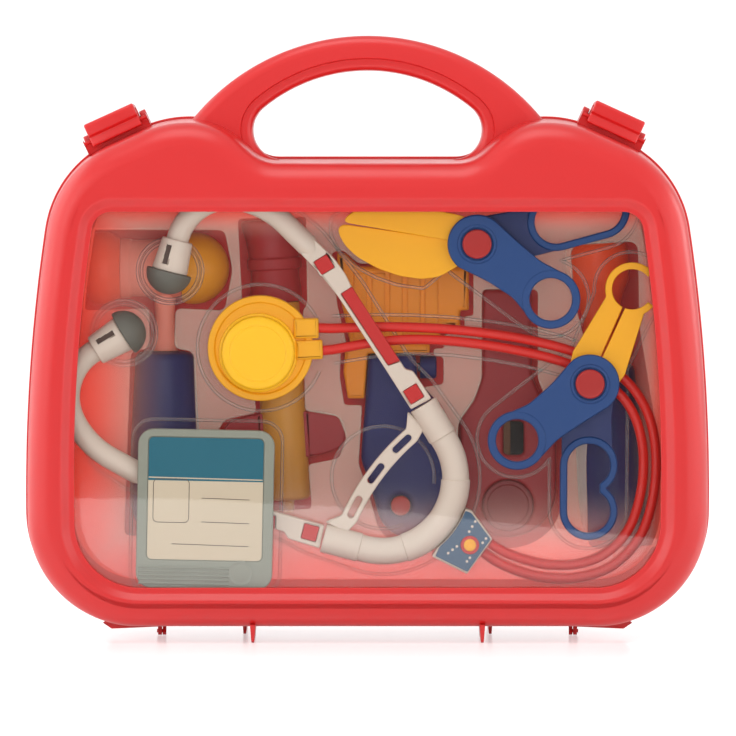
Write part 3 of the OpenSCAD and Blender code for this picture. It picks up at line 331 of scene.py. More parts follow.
def sheetLook(slot, colour, low, high, rough, milk=None):
    # thin clear sheet: light passes straight through but for a little milk, more where the sheet turns away, and
    # a gloss lies over it by Fresnel; milk names the mesh attribute that spreads the milk, and beside the walls
    # adds a painted red glow
    m, tree = newMaterial(slot)
    facing = node(tree, "LayerWeight", "Facing", {"Blend": clear["blend"]})
    turned = node(tree, "Math", "Value", {0: facing, 1: clear["power"]}, operation="POWER")
    amount = node(tree, "MapRange", "Result", {"Value": turned, "To Min": low, "To Max": high})
    inputs = {"Base Color": rgb(*colour), "Roughness": rough, "IOR": clear["ior"]}
    if milk:
        spread = node(tree, "Attribute", "Fac", attribute_name=milk)
        total = node(tree, "Math", "Value", {0: amount, 1: spread}, operation="ADD", use_clamp=True)
        # painted light: a red tint, extra milk and a glow on the sheet beside the shell's walls
        near = wallNearness(tree)
        paintedGlowColour = node(tree, "Mix", "Result", {"Factor": near, "A": rgb(*colour), "B": paintedWallGlow["colour"]},
                    data_type="RGBA")
        veil = {0: near, 1: paintedWallGlow["veil"], 2: total}
        amount = node(tree, "Math", "Value", veil, operation="MULTIPLY_ADD", use_clamp=True)
        inputs |= {"Base Color": paintedGlowColour, "Emission Color": paintedGlowColour, "Emission Strength": paintedWallGlow["lit"]}
    body = tree.nodes["Principled BSDF"]
    wire(body, inputs)
    milky = mixShader(tree, amount, node(tree, "BsdfTransparent", "BSDF"), body.outputs["BSDF"])
    gloss = node(tree, "BsdfAnisotropic", "BSDF", {"Roughness": rough})
    top = mixShader(tree, node(tree, "Fresnel", "Fac", {"IOR": clear["ior"]}), milky, gloss)
    wire(tree.nodes["Material Output"], {"Surface": top})
    return slot, m


looks = {
    "shell": plastic("red_shell", (214, 37, 37), 0.34, glow=0.12),
    "window": sheetLook("clear_window", (235, 232, 230), 0.0, 0.3, 0.02),
    "tray": sheetLook("clear_tray", (216, 194, 176), 0.01, 0.8, 0.08, "milk"),
    "white": plastic("white_plastic", (212, 195, 179), 0.38, mottle=0.03),
    "redTrim": plastic("red_trim", (190, 34, 32), 0.3),
    "grey": plastic("grey_rubber", (100, 97, 88), 0.55, grain=0.12),
    "blue": plastic("blue_plastic", (22, 62, 118), 0.4),
    # the blue plastic darkened: painted shade on the back levers' web and boss, which lie under the front levers
    "shadedBlue": plastic("blue_plastic", (38, 48, 96), 0.4),
    "yellow": plastic("yellow_plastic", (240, 168, 18), 0.36),
    "hose": plastic("red_hose", (214, 40, 32), 0.32, grain=0.1),
    "holder": plastic("grey_plastic", (138, 140, 126), 0.3),
    "card": plastic("card", (204, 188, 162), 0.6, grain=0.1),
    "navy": plastic("navy_plastic", (34, 42, 104), 0.35),
    "orange": plastic("orange_plastic", (240, 160, 36), 0.35),
    "maroon": plastic("maroon_plastic", (166, 42, 48), 0.35),
    "black": plastic("black_rubber", (36, 34, 34), 0.6, grain=0.1),
    "smoke": plastic("smoke_plastic", (58, 38, 30), 0.2),
    "slate": plastic("blue_plastic", (58, 84, 110), 0.4),
    "teal": plastic("card", (18, 96, 114), 0.5),
    "ink": plastic("card", (92, 74, 66), 0.6),
    # a lighter copy of the yellow: painted light on the chest piece's cap, with the base's rim lying in shade
    "paintedLitYellow": plastic("yellow_plastic", (255, 192, 16), 0.36),
    "ochre": plastic("yellow_plastic", (222, 156, 56), 0.36),
    "pin": plastic("red_trim", (168, 34, 30), 0.3),
    # whiter than the sheet: real ridges carrying a painted highlight for the bright lines along the tray's
    # pockets
    "ridge": sheetLook("clear_tray", (255, 244, 234), 0.03, 0.9, 0.08),
    # a dark brown for the white plastic: painted shade on the floor of the ear caps' slots
    "slot": plastic("white_plastic", (84, 66, 58), 0.6),
    "blush": plastic("white_plastic", (250, 150, 128), 0.38),
    "burgundy": plastic("maroon_plastic", (138, 46, 50), 0.35),
    "brown": plastic("smoke_plastic", (104, 66, 38), 0.25),
    "night": plastic("smoke_plastic", (26, 26, 28), 0.2),
    "scarlet": plastic("orange_plastic", (255, 84, 34), 0.35),
    "amber": plastic("orange_plastic", (250, 150, 24), 0.35),
    "crimson": plastic("red_trim", (176, 40, 46), 0.35),
}
print("stage: finishes made")

# The case's outline: a start and steps, [0, length] straight and [radius, turn] round, as in the part's source
case = {
    "width": 308, "foot": 4.2, "depth": 42, "wall": 2, "lowRadius": 52, "lowTurn": 89.4, "sideRadius": 800,
    "sideTurn": 9.2, "topRadius": 51.5, "slope": 24.5, "flat": 14.9, "faceRound": 11, "sideInset": 2.7,
    "sampleGap": 1.4,
}
opening = {"width": 260, "low": 24.7, "height": 167.6, "lowRadius": 29, "lowTurn": 88.5, "sideRadius": 757,
           "topRadius": 9}


def trace(start, chain, counts):
    # stations (x, y, heading) along the chain: a straight run keeps its heading, an arc turns it evenly
    x, y, h = start
    rows, stops = [], [start]
    for (radius, size), n in zip(chain, counts):
        t = np.append(np.arange(n) / n, 1)
        if radius == 0:
            (px, py), ph = np.array([[x], [y]]) + np.outer(way(h), t * size), h + 0 * t
        else:
            ph = h + t * size
            bow = np.sign(size) * radius * (way(ph) - way(h))
            px, py = x + bow[:, 1], y - bow[:, 0]
        rows.append(np.stack([px, py, ph], 1)[:-1])
        x, y, h = px[-1], py[-1], ph[-1]
        stops.append((x, y, h))
    return np.vstack(rows), stops


def offset(stations, d):  # the outline moved d inwards, which is to the left of its direction
    return stations[:, :2] + d * way(stations[:, 2] + 90)


topTurn = 180 - case["slope"] - case["lowTurn"] - case["sideTurn"]
rightHalf = [(case["lowRadius"], case["lowTurn"]), (case["sideRadius"], case["sideTurn"]),
             (case["topRadius"], topTurn), (0, case["flat"]),
             (53.6, case["slope"]), (37, 42), (0, 7), (15, -42)]
lowSine = sine(case["lowTurn"])
baseHalf = case["width"] / 2 - case["lowRadius"] * lowSine - case["sideRadius"] * (1 - lowSine)
_, halfStops = trace((baseHalf, case["foot"], 0), rightHalf, [2] * 8)
saddleHalf, saddleY = halfStops[8][:2]
caseChain = [(0, 2 * baseHalf)] + rightHalf + [(0, 2 * saddleHalf)] + rightHalf[::-1]
runLengths = [size if r == 0 else abs(np.radians(size)) * r for r, size in caseChain]
counts = [max(5, int(s / case["sampleGap"])) for s in runLengths]
caseLine, _ = trace((-baseHalf, case["foot"], 0), caseChain, counts)

# the window's side turns by twice the angle whose sine is half its height over its radius
lowRise = opening["lowRadius"] * (1 - way(opening["lowTurn"])[0])
sideHigh = opening["height"] - lowRise - 0.9 * opening["topRadius"]
windowSideTurn = np.floor(200 * np.degrees(np.arcsin(sideHigh / 2 / opening["sideRadius"]))) / 100
windowSteps = [(opening["lowRadius"], opening["lowTurn"]), (opening["sideRadius"], windowSideTurn),
               (opening["topRadius"], 180 - opening["lowTurn"] - windowSideTurn)]
windowHalf = opening["width"] / 2 - opening["lowRadius"]
_, windowStops = trace((windowHalf, opening["low"], 0), windowSteps, [2] * 3)
shoulder = (windowStops[3][0] - saddleHalf) / (halfStops[3][0] - saddleHalf)
windowRight = windowSteps + [(0, (halfStops[i][0] - halfStops[i + 1][0]) * shoulder) for i in range(3, 8)]
windowChain = [(0, 2 * windowHalf)] + windowRight + [(0, 2 * saddleHalf)] + windowRight[::-1]
windowLine, _ = trace((-windowHalf, opening["low"], 0), windowChain, counts)


def ring(line, d, w):  # one ring of a shell: an outline at an inset, set at a depth
    return atDepth(offset(line, d), w)


def rounding(r, parts=16):  # quarter circle between a shell's side and its face, as (inset, depth)
    at = (case["sideInset"] + case["faceRound"], case["depth"] - case["faceRound"])
    return [tuple(p) for p in at + r * way(np.linspace(0, 90, parts + 1)) * [-1, 1]]


def softRows(line, radii):  # (inset, depth) pairs with softened corners
    return [tuple(p) for p in soften(line, radii)]


roundRows = rounding(case["faceRound"])
outerRows = softRows([(3, 0.2), (1, 0.2)] + roundRows[:1], [0, 0.3, 0])[:-1] + roundRows
lipLine = [(-9, 42), (-5.6, 42), (-2.4, 39), (0, 39), (0, 37), (-5.4, 37), (-6.1, 40)]
lipRows = softRows(lipLine, [0, 0.9, 0.8, 0.4, 0.2, 0.2, 0])
innerRows = rounding(case["faceRound"] - case["wall"])[::-1]
frontWalls = ((caseLine, outerRows), (windowLine, lipRows), (caseLine, innerRows))
frontSkin = skin(np.array([ring(line, *r) for line, rows in frontWalls for r in rows]), joined=True)

# One half of the handle: an outer circle and the hand opening, with rounded rims on the outer side
handle = {"radius": 101, "y": 168.8, "gripRadius": 73.6, "gripY": 180.7, "cornerRadius": 13, "depth": 13.5,
          "rim": 5, "gap": 0.1, "span": (33, 147), "band": 4.8, "bandDrop": 1.4, "bandEdge": 3, "bandStep": 0.9}


def handleHalf(side):
    # the section runs from the outer circle over the rim, across the face and down the opening's rim
    low = saddleY - 1.2
    rise = low + handle["cornerRadius"] - handle["gripY"]
    half = np.sqrt((handle["gripRadius"] - handle["cornerRadius"]) ** 2 - rise ** 2)
    turn = 90 + np.degrees(np.arctan2(rise, half))
    chain = [(0, half), (handle["cornerRadius"], turn), (handle["gripRadius"], 360 - 2 * turn),
             (handle["cornerRadius"], turn), (0, half)]
    inner, _ = trace((0, low, 0), chain, [12, 30, 120, 30, 12])
    inner = inner[12:-12]
    out = way(np.linspace(*handle["span"], len(inner)))
    circle = out * handle["radius"] + [0, handle["y"]]
    quarter = 1 - way(np.linspace(0, 90, 9))
    deep, low, e = handle["depth"], handle["depth"] - handle["bandDrop"], handle["rim"]
    sections = [atDepth(circle, handle["gap"])]
    sections += [atDepth(circle - out * e * u, deep - e * v) for u, v in quarter]
    for d, w in ((handle["band"] + handle["bandStep"], deep), (handle["band"], low)):
        sections += [ring(inner, -d - shift, w) for shift in (0.15, -0.15)]
    e = handle["bandEdge"]
    sections += [ring(inner, -e * u, low - e * v) for u, v in quarter[::-1]] + [ring(inner, 0, handle["gap"])]
    body = np.array(sections).transpose(1, 0, 2)
    body[..., 2] *= side
    return skin(body)


def wedgeFin(x, side):
    # a thin fin under the shell, thicker at its root; its outline lies in the plane of depth and height
    outline = soften([(5, 0), (36.5, 0), (38.5, 1.5), (38.5, 8.4), (32.5, 7.5), (5, 6.2)], 0.8, True)
    p, f = plate([outline], -1, 1, 0.1)
    half = 0.6 + 0.08 * p[:, 1]
    return np.stack([x + p[:, 2] * half, p[:, 1], side * p[:, 0]], 1), f


hinge = {"x": 90.8, "y": 1.95, "r": 1.85, "rearThick": 1.6, "frontThick": 1.8, "gap": 0.3, "pin": 0.8}


def hingePlate(x, thick, rise, side):  # plate with a round foot, hanging from a shell's rim
    outline = np.vstack([arc((0, hinge["y"]), hinge["r"], 200, 330, 12), [(3, rise), (0.2, rise)]])
    p, f = plate([outline], 0, thick, 0.15)
    return np.stack([x + p[:, 2], p[:, 1], side * p[:, 0]], 1), f


def both(part):  # a part and its mirror image across the middle
    return [part, mirrored(part)]


# A latch's own frame lies on the shoulder's flat stretch: (along it, outwards, to the front)
latchTurn = -case["slope"]
latchAt = tuple((np.array(halfStops[3][:2]) + np.array(halfStops[4][:2])) / 2)
latch = {"width": 24, "pinY": 3.6, "pinW": -7, "earThick": 3, "earRadius": 3.2, "play": 0.3, "leftShift": 3.1}


def onShoulder(outline, x0, x1, edge=0.5):
    # an outline of (outwards, to the front), carried along the shoulder from x0 to x1
    p, f = plate([outline], x0, x1, edge)
    return placed((np.stack([p[:, 2], p[:, 0], p[:, 1]], 1), f), latchAt, latchTurn)


def leftLatch(part):  # the left latch sits a little further out along its shoulder
    p, f = part
    return mirrored((p + latch["leftShift"] * np.array([*way(latchTurn), 0]), f))


def catchBlock():  # the hooked block under a latch, one outline carried across the shoulder
    line = [(-2.4, 1), (3.4, 1), (4, 1.6), (4, 10.6), (2.6, 10.6), (2.6, 9), (-2.4, 9)]
    return onShoulder(soften(line[::-1], 0.4, True), -15.4, 15.4, 0.6)


def latchEar(side):  # an ear for the latch's pin: a half circle round the pin on a wide foot
    c = (latch["pinY"], latch["pinW"])
    outline = np.vstack([arc(c, latch["earRadius"], -90, 90, 8), [(-2.2, c[1] + 4.7), (-2.6, c[1] - 5.7)]])
    x = side * (latch["width"] / 2 + latch["play"] + latch["earThick"] / 2)
    return onShoulder(outline, x - latch["earThick"] / 2, x + latch["earThick"] / 2, 0.4)


def baseWedge():  # a low wedge under each lower corner of the front shell
    b, f = baseHalf, case["foot"]
    line = [(b + 17.4, f + 1.6), (b + 14, f + 3.9), (b - 14, f + 1.4), (b - 14, f + 0.1), (b + 13.4, f - 1.1)]
    return plate([soften(line, 0.4, True)], 0.2, 3, 0.3)


lidPlateX = hinge["x"] + hinge["rearThick"] + hinge["gap"]
frontParts = [frontSkin, handleHalf(1), *both(baseWedge()), *both(wedgeFin(51, 1)), catchBlock(),
              leftLatch(catchBlock()), *both(hingePlate(lidPlateX, hinge["frontThick"], 6.2, 1))]
build("front_case_shell", joinedUp(*frontParts), "shell", "lid", nodes=["front_shell"])

rearRows = softRows([(2.2, 0), (0, 0), (0, 3), (1, 3.6)], [0, 0.4, 0.4, 0]) + roundRows
rearInside = innerRows + [(3, 1.2), (2.2, 1.2)]
rearOuter = np.array([ring(caseLine, d, -w) for d, w in rearRows])
rearInner = np.array([ring(caseLine, d, -w) for d, w in rearInside])
rearFloor = {"half": 60, "height": 110, "rings": 12}


def closedTub(outside, inside):
    # a tub's outer and inner skins, each ending in a flat floor drawn in to a short line
    t = np.linspace(0, 1, rearFloor["rings"])[1:]

    def floor(edge, steps):  # the edge drawn in by steps to a short level line
        x = np.clip(edge[:, 0], -rearFloor["half"], rearFloor["half"])
        line = np.column_stack([x, np.full(len(edge), rearFloor["height"]), edge[:, 2]])
        return [(1 - t) * edge + t * line for t in steps]

    return skin(np.array([*outside, *floor(outside[-1], t), *floor(inside[0], t[::-1]), *inside]), joined=True)


pinAt = (hinge["x"] + hinge["rearThick"], hinge["y"], 0)
hingePin = lathe([(hinge["pin"], 0), (hinge["pin"], 2.6)], pinAt, (1, 0, 0), 16)
rearParts = [closedTub(rearOuter, rearInner), handleHalf(-1), *both(wedgeFin(55.5, -1)), latchEar(1),
             latchEar(-1), leftLatch(latchEar(1)), leftLatch(latchEar(-1)),
             *both(hingePlate(hinge["x"], hinge["rearThick"], 5.2, -1)), *both(hingePin)]
build("rear_case_shell", joinedUp(*rearParts), "shell", nodes=["rear_shell"])


def latchPiece():
    # the tab's outline carried across, with its barrel and its pin
    line = [(3.6, -9.5), (1.2, -8.2), (1.0, -6), (3.6, -4.5), (8, -5.6), (9, -4.4), (9, 10.2), (2.4, 10.9),
            (2.4, 9.4), (1.2, 9.6), (0.3, 11.8), (0.6, 13.7), (1.6, 13.8), (4.9, 12.9), (5.5, 14.3),
            (10.2, 14.8), (11, 14.1), (11.2, 13), (10.7, -6.4), (9, -8), (6.2, -9.3)]
    outline = soften(line[::-1], 0.6, True)
    turned = (([(2.55, -11.9), (2.6, -11.6), (2.6, 11.6), (2.55, 11.9)], 32),
              ([(1.1, -15.3), (1.25, -15.1), (1.25, 15.1), (1.1, 15.3)], 24))
    pins = [lathe(profile, (0, latch["pinY"], latch["pinW"]), (1, 0, 0), sides) for profile, sides in turned]
    body = onShoulder(outline, -12, 12, 0.7)
    return joinedUp(body, *[placed(part, latchAt, latchTurn) for part in pins])


build("latch_tab_right", latchPiece(), "shell", "latch_r", nodes=["latch_right"])
build("latch_tab_left", leftLatch(latchPiece()), "shell", "latch_l", nodes=["latch_left"])
print("stage: case made")

windowPiece = build("window_sheet", plate([offset(windowLine, -4.6)], 35.6, 37, 0.2, 1), "window", "lid",
                    nodes=["window_pane"])


def turnedLoop(loop):  # a loop that runs the other way, for a hole
    return np.asarray(loop)[::-1]


def rounded(w, h, r, at=(0, 0), turn=0, steps=6):  # rectangle with round corners, left-handed
    x, y = w / 2 - r, h / 2 - r
    corners = ((x, y, 0), (-x, y, 90), (-x, -y, 180), (x, -y, 270))
    loop = np.vstack([arc((cx, cy), r, a, a + 90, 90 / steps) for cx, cy, a in corners])
    return turnedTo(loop, at, turn)


# Depths of the layers in the case, from the back to the front
depth = {"sheet": 15.0, "hose": 17.4, "headset": 23.2, "leverBack": 20.6, "bladeBack": 24.2, "bladeFront": 26.6,
         "leverFront": 28.8}

# Stethoscope: its own frame runs along the headset, from the ring to the ears
headset = {"at": (6.9, 72.2), "turn": 143.3, "ring": 32.4, "tube": 6.0, "sleeve": 0.5, "opening": 112,
           "sleeveHalf": 36}


def onHeadset(part):  # a part turned and moved from the headset's frame
    return placed(part, headset["at"], headset["turn"])


def twoArms(part):  # a part and its mirror image across the headset's middle line
    return joinedUp(onHeadset(part), onHeadset(mirrored(part, 1, -1)))


def headsetRing():
    # a tube along an open arc with two straight ends, thicker at the sleeves on the ends and round the middle
    side = way(headset["opening"])
    run = np.array([19, 18.9, 18.5, 15, 11, 7, 2.55, 2.4, 2.25, 1])
    ends = headset["ring"] * side + run[:, None] * [side[1], -side[0]]
    endRadius = headset["tube"] + headset["sleeve"] * np.array([0, 0.7, 1, 1, 1, 1, 1, 0.5, 0, 0])
    turns = np.sort(np.append(np.linspace(headset["opening"], 360 - headset["opening"], 70),
                              [143.7, 144, 144.3, 215.7, 216, 216.3]))
    middle = headset["ring"] * way(turns)
    swell = np.clip((headset["sleeveHalf"] - abs(turns - 180)) / 0.6 + 0.5, 0, 1) * headset["sleeve"]
    path = np.vstack([ends, middle, (ends * [1, -1])[::-1]])
    radius = np.concatenate([endRadius, headset["tube"] + swell, endRadius[::-1]])
    return tube(atDepth(path, depth["headset"]), radius, 40)


bridge = {"radius": 109, "half": 3.7, "turn": 15.4, "slots": (-9.3, 0, 9.3), "slotLong": 10.6, "slotWide": 3.1,
          "thick": 4}


def headsetBridge():
    # a band between two arcs, bowed towards the ears, with flared feet and three slots
    r, h, a = bridge["radius"], bridge["half"], bridge["turn"]
    outFoot = (r + h + 1.6, (r + h) * sine(a) + 1)
    inFoot = (r - h - 1.6, (r - h) * sine(a) + 1)
    feet = np.array([outFoot, inFoot])
    outer = np.vstack([arc((0, 0), r + h, -a + 3, a - 3, 1), feet, arc((0, 0), r - h, a - 3, 3 - a, 1),
                       feet[::-1] * [1, -1]])
    loops = [soften(outer, 1.5, True)]
    for t in bridge["slots"]:
        slot = rounded(bridge["slotWide"], bridge["slotLong"], bridge["slotWide"] / 2 - 0.01, r * way(t), t, 8)
        loops.append(turnedLoop(slot))
    p, f = plate(loops, depth["headset"] - bridge["thick"] / 2, depth["headset"] + bridge["thick"] / 2, 0.6)
    return p - [bridge["radius"] - 4, 0, 0], f


arm = {"low": 20.2, "floor": 21.6, "high": 26.2, "insert": 6.8, "insertTurn": 22,
       "insertAt": ((11.8, 38.6), (78.2, 61.0))}
armBase = [(8.6, 32.4), (28, 39.8), (65, 53.4), (78, 56.8), (89.4, 58.6), (88.2, 67.4), (76, 65.8),
           (68.4, 63.4), (62.4, 60.4), (21.4, 45.2), (18, 46.6), (4.2, 41.7)]
armRail = armBase[:8] + [(62.5, 60.3), (64.6, 54.9), (28.4, 41.8), (25.1, 46.7)] + armBase[9:]


def armBody():
    # a thin base under a rail with two square windows
    side = arm["insert"] + 0.2
    holes = [turnedLoop(rounded(side, side, 0.5, at, arm["insertTurn"], 2)) for at in arm["insertAt"]]
    return joinedUp(plate([soften(armBase, 1.2, True)], arm["low"], arm["floor"], 0.3),
                    plate([soften(armRail, 0.8, True)] + holes, arm["floor"] - 0.2, arm["high"], 0.5))


def armInserts():  # a square block in each window of the rail
    squares = [rounded(arm["insert"], arm["insert"], 0.6, at, arm["insertTurn"], 3) for at in arm["insertAt"]]
    return joinedUp(*[plate([square], arm["floor"], arm["high"] + 0.3, 0.4) for square in squares])


def armStrip():  # a four-cornered strip between the two windows, a little under the rail
    line = soften([(28.6, 42), (64.4, 55.1), (62.4, 60.5), (25.4, 46.8)], 0.6, True)
    return plate([line], arm["floor"], arm["high"] - 0.6, 0.4)


earTube = {"start": (89, 63.3, 8), "chain": [(0, 13.7), (40, -34), (23.75, -86), (0, 0.6)], "radius": 5.0,
           "capRadius": 6.8, "flare": 1.3, "capLong": 14.4, "slotLong": 8.6, "slotWide": 2.3, "slotDeep": 1.2,
           "slotShift": 2.9, "slotRadius": 7.4, "tipRadius": 10.2}
earLine, earStops = trace(earTube["start"], earTube["chain"], [4, 16, 24, 2])
earEnd = earStops[-1]
earAxis, earSide = np.array([[*way(earEnd[2]), 0], [*way(earEnd[2] + 90), 0]])
capAt = np.array([*earEnd[:2], depth["headset"]])
tipAt = capAt + (earTube["capLong"] + 0.1) * earAxis


def earPipe():
    # a tube along the traced arcs, from inside the arm's foot to inside the cap
    ends = [np.array(earTube["start"][:2]) - [4, 0.5], earStops[-1][:2] + earAxis[:2] * 2]
    path = np.vstack([ends[:1], earLine[:, :2], ends[1:]])
    return tube(atDepth(path, depth["headset"]), np.append(3.0, np.full(len(path) - 1, earTube["radius"])), 36)


def earCap():
    # a flared round cap: its radius grows along its axis, and a slot goes in on its front
    length, half, gap = earTube["capLong"], earTube["slotLong"] / 2, 0.12
    ends = np.r_[0, 0.12, 0.35, length - 0.3, length - 0.05, length]
    slotEnds = length / 2 + np.array([-half - gap, -half, half, half + gap])
    s = np.sort(np.r_[ends, np.linspace(0.8, length - 0.6, 9), slotEnds])
    rim = 0.3 * (np.clip(1 - s / 0.35, 0, 1) + np.clip((s - length + 0.3) / 0.3, 0, 1)) ** 2
    radius = earTube["capRadius"] + earTube["flare"] * s / length - rim
    sides = earTube["slotShift"] + np.array([-1, 1]) * earTube["slotWide"] / 2
    edges = np.degrees(np.arcsin(np.r_[sides, sides + [-gap, gap]] / earTube["slotRadius"]))
    a = np.radians(np.sort(np.r_[np.arange(0, 360, 7.5), edges % 360]))[None]
    across = radius[:, None] * np.sin(a)
    inside = (abs(across - earTube["slotShift"]) < earTube["slotWide"] / 2 + gap / 2) & (np.cos(a) > 0)
    inside &= abs(s[:, None] - length / 2) < half + gap / 2
    r = radius[:, None] - earTube["slotDeep"] * inside
    spokes = np.stack([np.cos(a), np.sin(a)], -1) @ [[0, 0, 1], earSide]
    return skin(capAt + s[:, None, None] * earAxis + r[..., None] * spokes)


def earTip():  # a dome on the cap's flat end
    dome = [0, 0.4] + way(np.linspace(0, 88, 16)) * [earTube["tipRadius"], earTube["tipRadius"] - 0.4]
    return lathe([(8.0, 0), (9.9, 0.05), *dome], tipAt, earAxis, 56)


# painted shade: a dark piece set in the floor of each cap's slot
def slotFloor():  # the dark floor of a cap's slot
    long, wide = earTube["slotLong"] / 2, earTube["slotWide"] / 2
    centre = capAt + earAxis * earTube["capLong"] / 2 + earTube["slotShift"] * earSide
    corners = [(-long, -wide), (long, -wide), (long, wide), (-long, wide)]
    rings = []
    for drop, k in ((0.55, 0.02), (0.55, 1), (1.5, 1), (1.5, 0.02)):
        x, y = k * np.array(corners).T[..., None]
        r = earTube["capRadius"] + earTube["flare"] * (0.5 + x / earTube["capLong"])
        rise = np.sqrt(r * r - (y + earTube["slotShift"]) ** 2) - drop
        rings.append(centre + x * earAxis + y * earSide + rise * [0, 0, 1])
    return skin(np.array(rings))


build("headset_ring", onHeadset(headsetRing()), "white")
build("headset_bridge", onHeadset(headsetBridge()), "white")
build("headset_arms", twoArms(armBody()), "white")
build("arm_inserts", twoArms(armInserts()), "redTrim")
build("arm_strips", twoArms(armStrip()), "redTrim")
build("ear_tubes", twoArms(joinedUp(earPipe(), earCap())), "white")
build("ear_cap_slots", twoArms(slotFloor()), "slot", nodes=())
build("ear_tips", twoArms(earTip()), "grey")

# Yoke beside the ring, with a plate and a round stud on it
badge = {"stud": (45.6, 42.9), "back": 26.7, "front": 28.1, "dot": 0.62}
yokeRing = headset["ring"] + headset["tube"] + headset["sleeve"] + 0.2
yokeLine = np.vstack([arc(headset["at"], yokeRing, -52, -20, 3),
                      [(46.4, 58), (55.6, 45.4), (44.4, 29.8), (28.8, 37.6)]])
badgeLine = np.vstack([arc(headset["at"], yokeRing + 0.2, -21, -50, 3),
                       [(30.2, 38.0), (44.5, 30.9), (54.9, 45.4), (46.2, 57.2)]])
build("headset_yoke", plate([turnedLoop(soften(yokeLine, 0.5, True))], 15.2, 26.6, 0.4), "white")
build("badge_plate", plate([soften(badgeLine, 0.6, True)], badge["back"], badge["front"], 0.15), "slate")


def dotRows():
    # small round dots, evenly spaced on four short lines
    rows = [((48, 53.4), (45.3, 48.9), 3), ((39.8, 42.3), (35.95, 39.3), 3), ((52.75, 45.8), (51.3, 43.9), 2),
            ((45.6, 37.2), (44.3, 35.6), 2)]
    at = [np.array(a) + (np.array(b) - a) * k / (n - 1) for a, b, n in rows for k in range(n)]
    dot = [(badge["dot"], 0), (badge["dot"], 0.06), (0.3, 0.16)]
    return joinedUp(*[lathe(dot, (*p, badge["front"] - 0.02), sides=14) for p in at])


build("badge_marks", dotRows(), "white", nodes=())
studAt = (*badge["stud"], badge["front"])
studLine = [(1.5, -1.4), (1.5, 0.05), (2.7, 0.05), (2.7, 1.0), (2.3, 1.3), (1.4, 1.35), (1.2, 1.1)]
studRing = [(2.75, 0), (4.1, 0), (4.15, 0.4), (3.9, 0.8), (3.0, 0.85), (2.75, 0.7)]
build("badge_stud", lathe(studLine, studAt, sides=48), "yellow")
build("stud_ring", lathe(studRing, studAt, sides=48, hollow=True), "redTrim", nodes=())

# Chest piece with two stubs for the hoses
chest = {"at": (-47.8, 130.4), "radius": 23.6, "low": 15.2, "thick": 7, "capAt": (-48.8, 128.4),
         "capRadius": 16.4}


def chestBase():
    # a turned disc with a groove inside its rim, and two blocks that end the hoses
    r, h = chest["radius"], chest["thick"]
    rim = soften([(r - 2, 0), (r, 0), (r, h), (r - 3.0, h), (r - 3.4, h - 0.9), (17.6, h - 0.8), (2, h - 0.8)],
                 [0, 1.2, 0.9, 0.5, 0.4, 1, 0])
    disc = lathe(rim, (*chest["at"], chest["low"]), sides=96)
    blocks = []
    for at, turn, l, w in (((-30, 139.2), 1, 8.2, 9.0), ((-29.2, 129.6), 2, 9.2, 8.6)):
        block = soften([(-3, -w / 2), (l, -w / 2), (l, w / 2), (-3, w / 2)], 1.0, True)
        blocks.append(placed(plate([block], 15.3, 23.6, 1.2), at, turn))
    return joinedUp(disc, *blocks)


def chestCap():  # a turned disc with a flared foot and a shallow groove near its rim
    r = chest["capRadius"]
    rim = soften([(r - 2, 0), (r + 1.4, 0), (r + 1.1, 1.4), (r, 1.8), (r, 6.9), (12.9, 7.2), (12.5, 6.95),
                  (12.1, 7.2), (2, 7.3)], [0, 0.5, 0.4, 0.4, 1.6, 0.4, 0.3, 0.4, 0])
    return lathe(rim, (*chest["capAt"], 21.4), sides=96)


build("chest_piece_base", chestBase(), "yellow")
# the cap's lighter yellow is painted light
build("chest_piece_cap", chestCap(), "paintedLitYellow")

hoses = {
    "radius": 2.2,
    "upper": [
        (-22.4, 139.4, 19.2), (-16, 139.2, 18.6), (-8, 139.4), (4, 139.8), (20, 139.6), (38, 138.6),
        (56, 136.6), (72, 134), (88, 130), (100, 125.4), (111, 119.4), (120, 110.6), (126.4, 98), (129, 82),
        (127.8, 64), (122, 46), (110, 33), (95, 27.6), (80, 27.4), (68, 30.2), (58.6, 34.2), (51.8, 38.7),
    ],
    "lower": [
        (-20.6, 129.2, 19.2), (-15, 129.8, 18.6), (-8, 131), (4, 133), (20, 134.2), (38, 133.4), (56, 131.2),
        (71, 128.4), (85.8, 124.6), (97.2, 120), (107.2, 114.2), (115.4, 106.6), (121, 95.6), (123.4, 81.4),
        (122.2, 65.4), (117, 49.6), (107, 38.6), (94.6, 33.6), (81.6, 33.2), (71, 35.4), (62, 38.6),
        (54.9, 42.6),
    ],
}
for name in ("upper", "lower"):
    route = [p if len(p) == 3 else (*p, depth["hose"]) for p in hoses[name]]
    build("hose_" + name, tube(along(curved(route), 1.2), hoses["radius"], 24), "hose")
print("stage: stethoscope made")

# Scissors and forceps: each has its pivot at the origin of a frame whose x points to its tips
scissors = {"name": "scissors", "at": (48.6, 177.1), "turn": 171.2}
forceps = {"name": "forceps", "at": (98.9, 114.9), "turn": 65.8}
lever = {"boss": 13.1, "long": 41.0, "finger": 9.4, "thick": 3.6, "frontTurn": 152, "backTurn": 204, "pin": 4.0,
         "seat": 7.3, "cap": 6.5, "dish": 8.9, "loop": 12.9, "band": 3.3, "near": (36.7, 0), "far": (57.3, 0),
         "notch": 8.0}


